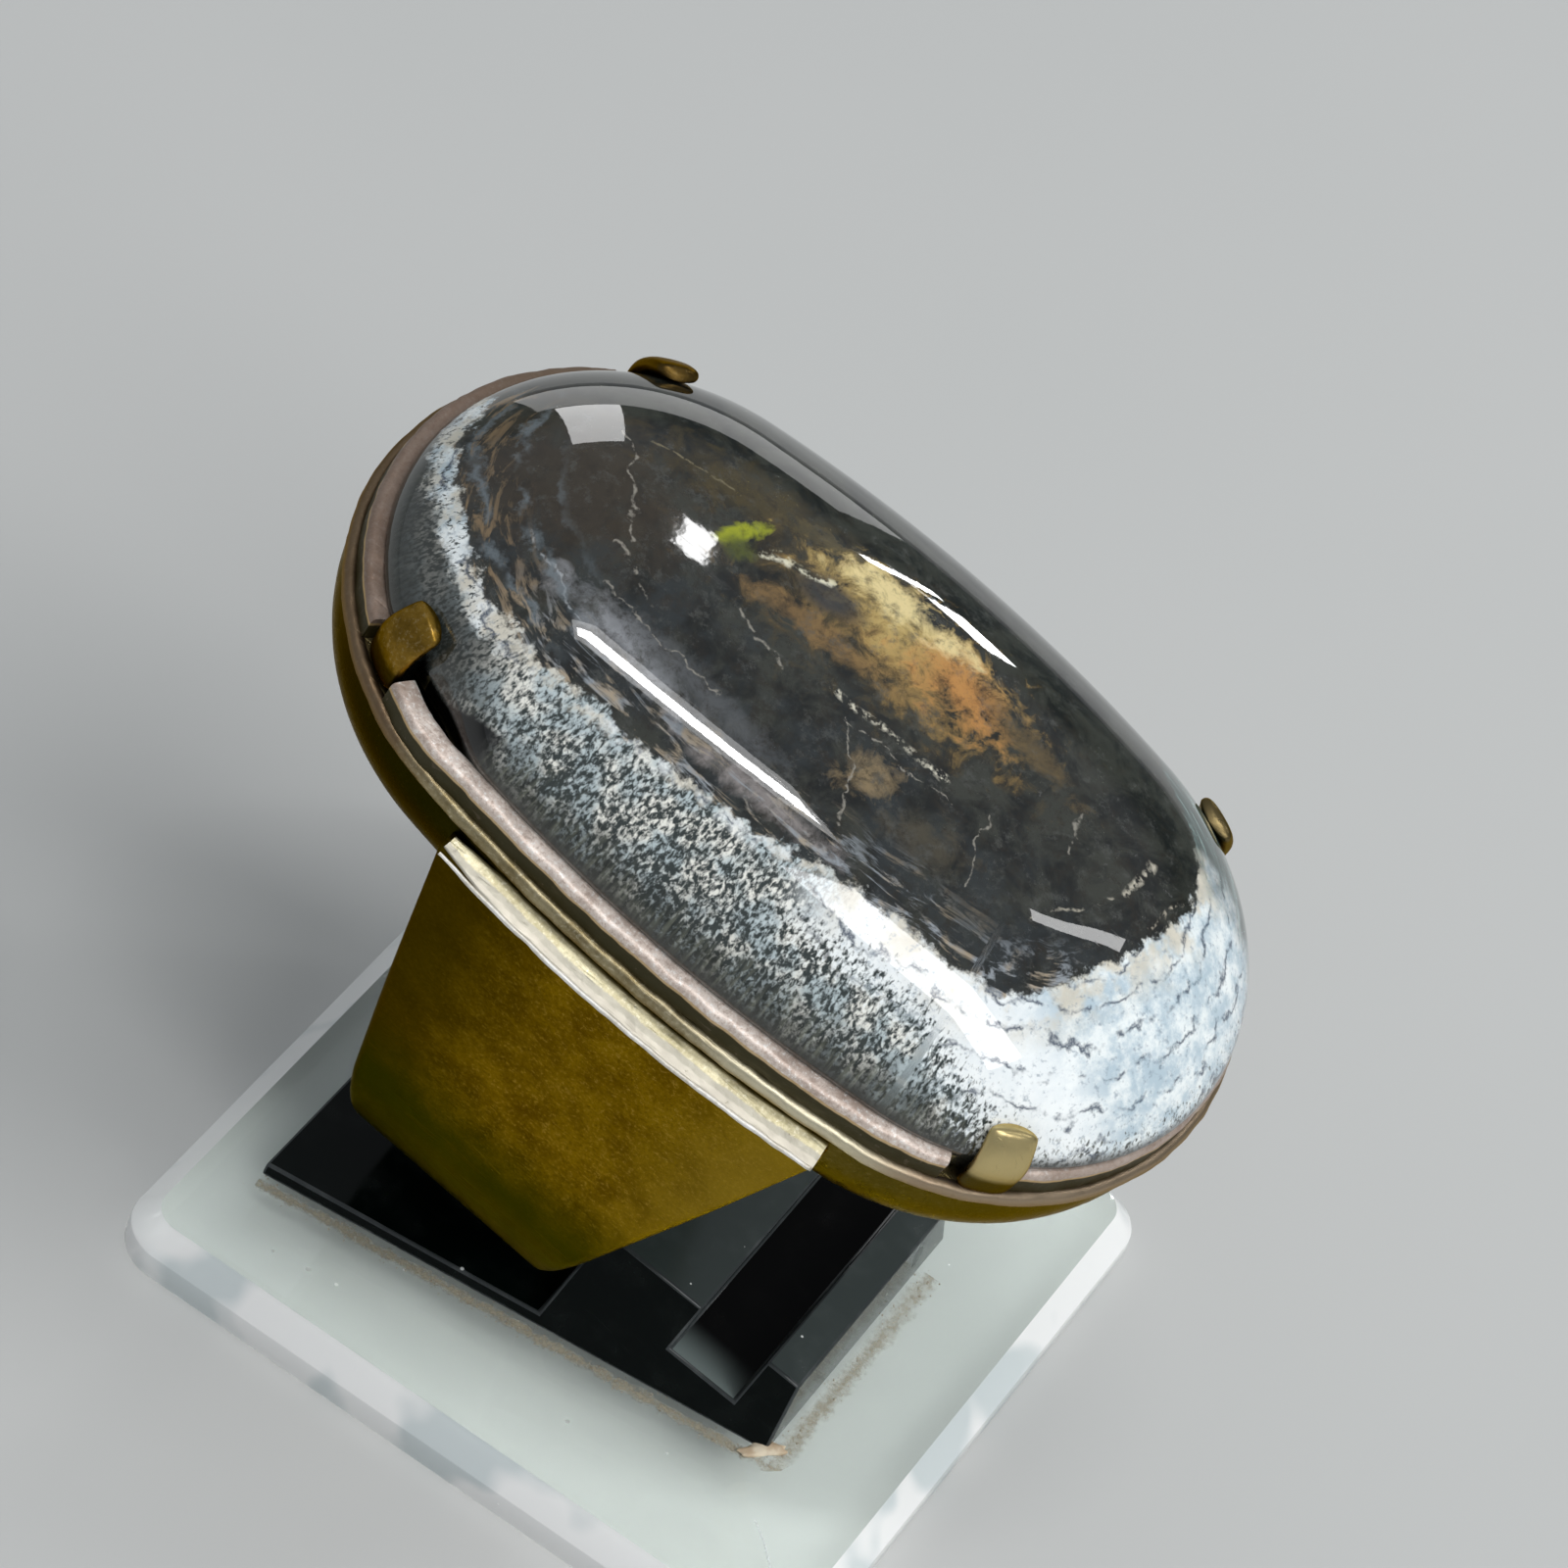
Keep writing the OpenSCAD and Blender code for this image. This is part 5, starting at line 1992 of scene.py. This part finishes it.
@dataclass(frozen=True)
class Panel:
    """A light panel: direction to it, direction of its long side, distance, size, power and what it lights."""

    name: str
    toward: Place
    along: Place
    far: float
    size: Flat
    watts: float
    glossy: bool = True
    diffuse: bool = True
    stone_only: bool = False


@dataclass
class Studio:
    """Camera, floor and lights."""

    right: Place = (0.8229, 0.489706, 0.288137)
    down: Place = (0.541357, -0.521758, -0.659319)
    ahead: Place = (-0.172535, 0.698539, -0.694461)
    eye: Place = (40.7203, -172.5738, 196.5364)
    lens: float = 158.212
    panels: Tuple[Panel, ...] = (
        Panel("overhead_strip", (0.057, -0.2, 0.978), (0.293, 0.177, 0.02), 420, (143, 20), 0.25),
        Panel(
            "overhead_halo", (0.05, -0.195, 0.979), (0.293, 0.177, 0.02), 425, (160, 50), 0.08,
            diffuse=False,
        ),
        Panel("small_window", (0.043, 0.545, 0.837), (1, 0.25, 0), 420, (5.8, 11), 0.0031),
        Panel("far_window", (0.058, 0.931, 0.36), (1, 0, 0), 420, (17, 42), 0.08),
        Panel("far_slit", (0.021, 0.905, 0.415), (1, 0, 0), 420, (3.4, 92), 0.03),
        Panel("right_strip", (0.457, 0.395, 0.782), (0.262, 0.135, -0.227), 420, (150, 30), 0.085),
        Panel("far_low_sheet", (-0.4, 0.91, 0.13), (1, 0.42, 0), 420, (300, 120), 0.12),
        Panel("left_window", (-0.5, 0.72, 0.44), (0.83, 0.56, 0), 420, (85, 165), 0.18, stone_only=True),
        Panel("soft_window", (0.5, -0.47, 0.73), (0.47, 0.0, -0.48), 420, (270, 95), 0.42),
        Panel("key", (0.72, 0.05, 0.69), (0, 1, 0), 700, (300, 300), 2.0, glossy=False),
    )

    aim: Place = (0.0, -3.0, 33.0)
    floor_half: float = 1500.0
    floor_tones: Tuple[Colour, Colour] = ((0.53, 0.54, 0.53), (0.58, 0.58, 0.57))
    room_tone: Colour = (0.36, 0.38, 0.4)
    room_low_tone: Colour = (0.12, 0.14, 0.14)

    @staticmethod
    def stand(obj: bpy.types.Object, axes: Sequence[Sequence[float]], place: Vector) -> None:
        """Puts an object in the scene.

        Args:
            obj: the object.
            axes: directions of its x, y and z.
            place: where it stands, in millimetres.
        """
        m = Matrix(axes).transposed().to_4x4()
        m.translation = place * MM
        obj.matrix_world = m
        bpy.context.scene.collection.objects.link(obj)

    def camera(self) -> None:
        """Puts the camera at the photograph's viewing angle."""
        cam = bpy.data.cameras.new("camera")
        cam.lens = self.lens
        cam.sensor_width = 36.0
        cam.clip_start = 0.01
        cam.clip_end = 10.0
        obj = bpy.data.objects.new("camera", cam)
        up, back = [-c for c in self.down], [-c for c in self.ahead]
        self.stand(obj, (self.right, up, back), Vector(self.eye))
        bpy.context.scene.camera = obj

    def floor(self) -> None:
        """A plain pale floor."""
        mesh = bpy.data.meshes.new("floor")
        h = self.floor_half
        corners = [(x * MM, y * MM, -0.1 * MM) for x, y in ((-h, -h), (h, -h), (h, h), (-h, h))]
        mesh.from_pydata(corners, [], [(0, 1, 2, 3)])
        obj = bpy.data.objects.new("floor", mesh)
        bpy.context.scene.collection.objects.link(obj)
        s = Paint("pale_floor")
        colour = s.mix(s.noise(s.stand_place(), 0.02, 2.0), *self.floor_tones)
        mesh.materials.append(s.finish({"Base Color": colour, "Roughness": 0.7}))

    def light(self, panel: Panel) -> None:
        """Adds a soft light panel that faces the head.

        Args:
            panel: the panel.
        """
        lamp = bpy.data.lights.new(panel.name, "AREA")
        lamp.shape = "RECTANGLE"
        lamp.size, lamp.size_y = panel.size[0] * MM, panel.size[1] * MM
        lamp.energy = panel.watts
        obj = bpy.data.objects.new(panel.name, lamp)
        back = Vector(panel.toward).normalized()
        side = Vector(panel.along)
        side = (side - back * side.dot(back)).normalized()
        self.stand(obj, (side, back.cross(side), back), Vector(self.aim) + back * panel.far)
        obj.visible_glossy = panel.glossy
        obj.visible_diffuse = panel.diffuse
        if panel.stone_only:
            lit = bpy.data.collections.new(panel.name + "_lights")
            lit.objects.link(bpy.data.objects[STONE_NAME])
            obj.light_linking.receiver_collection = lit

    def room(self) -> None:
        """A dim room that is darker low down on the far side."""
        world = bpy.data.worlds.new("soft_room")
        world.use_nodes = True
        s = Sketch(world.node_tree)
        _, y, z = s.split(s.node("ShaderNodeTexCoord").outputs["Generated"])
        tone = s.dye(self.room_tone, self.room_low_tone, s.ramp(z, 0.6, 0.3), s.ramp(y, 0.2, 0.7))
        background = world.node_tree.nodes["Background"]
        s.put(background.inputs["Color"], tone)
        s.put(background.inputs["Strength"], 1.0)
        bpy.context.scene.world = world

    def build(self) -> None:
        """Sets up the studio."""
        self.camera()
        self.floor()
        self.room()
        for panel in self.panels:
            self.light(panel)


def main() -> None:
    """Builds everything."""
    logging.basicConfig(level=logging.INFO, format="%(name)s %(message)s")
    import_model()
    maker = PieceMaker()
    shared = SharedGroups.build()
    sweep = TrimSweep()
    stone = Stone()
    stone.build(maker, shared)
    Setting().build(maker, shared, sweep, stone)
    Plate().build(maker, shared)
    Holder().build(maker, shared)
    Residue().build(maker, sweep)
    Studio().build()
    bpy.context.scene.view_settings.view_transform = "Standard"


if __name__ == "__main__":
    main()
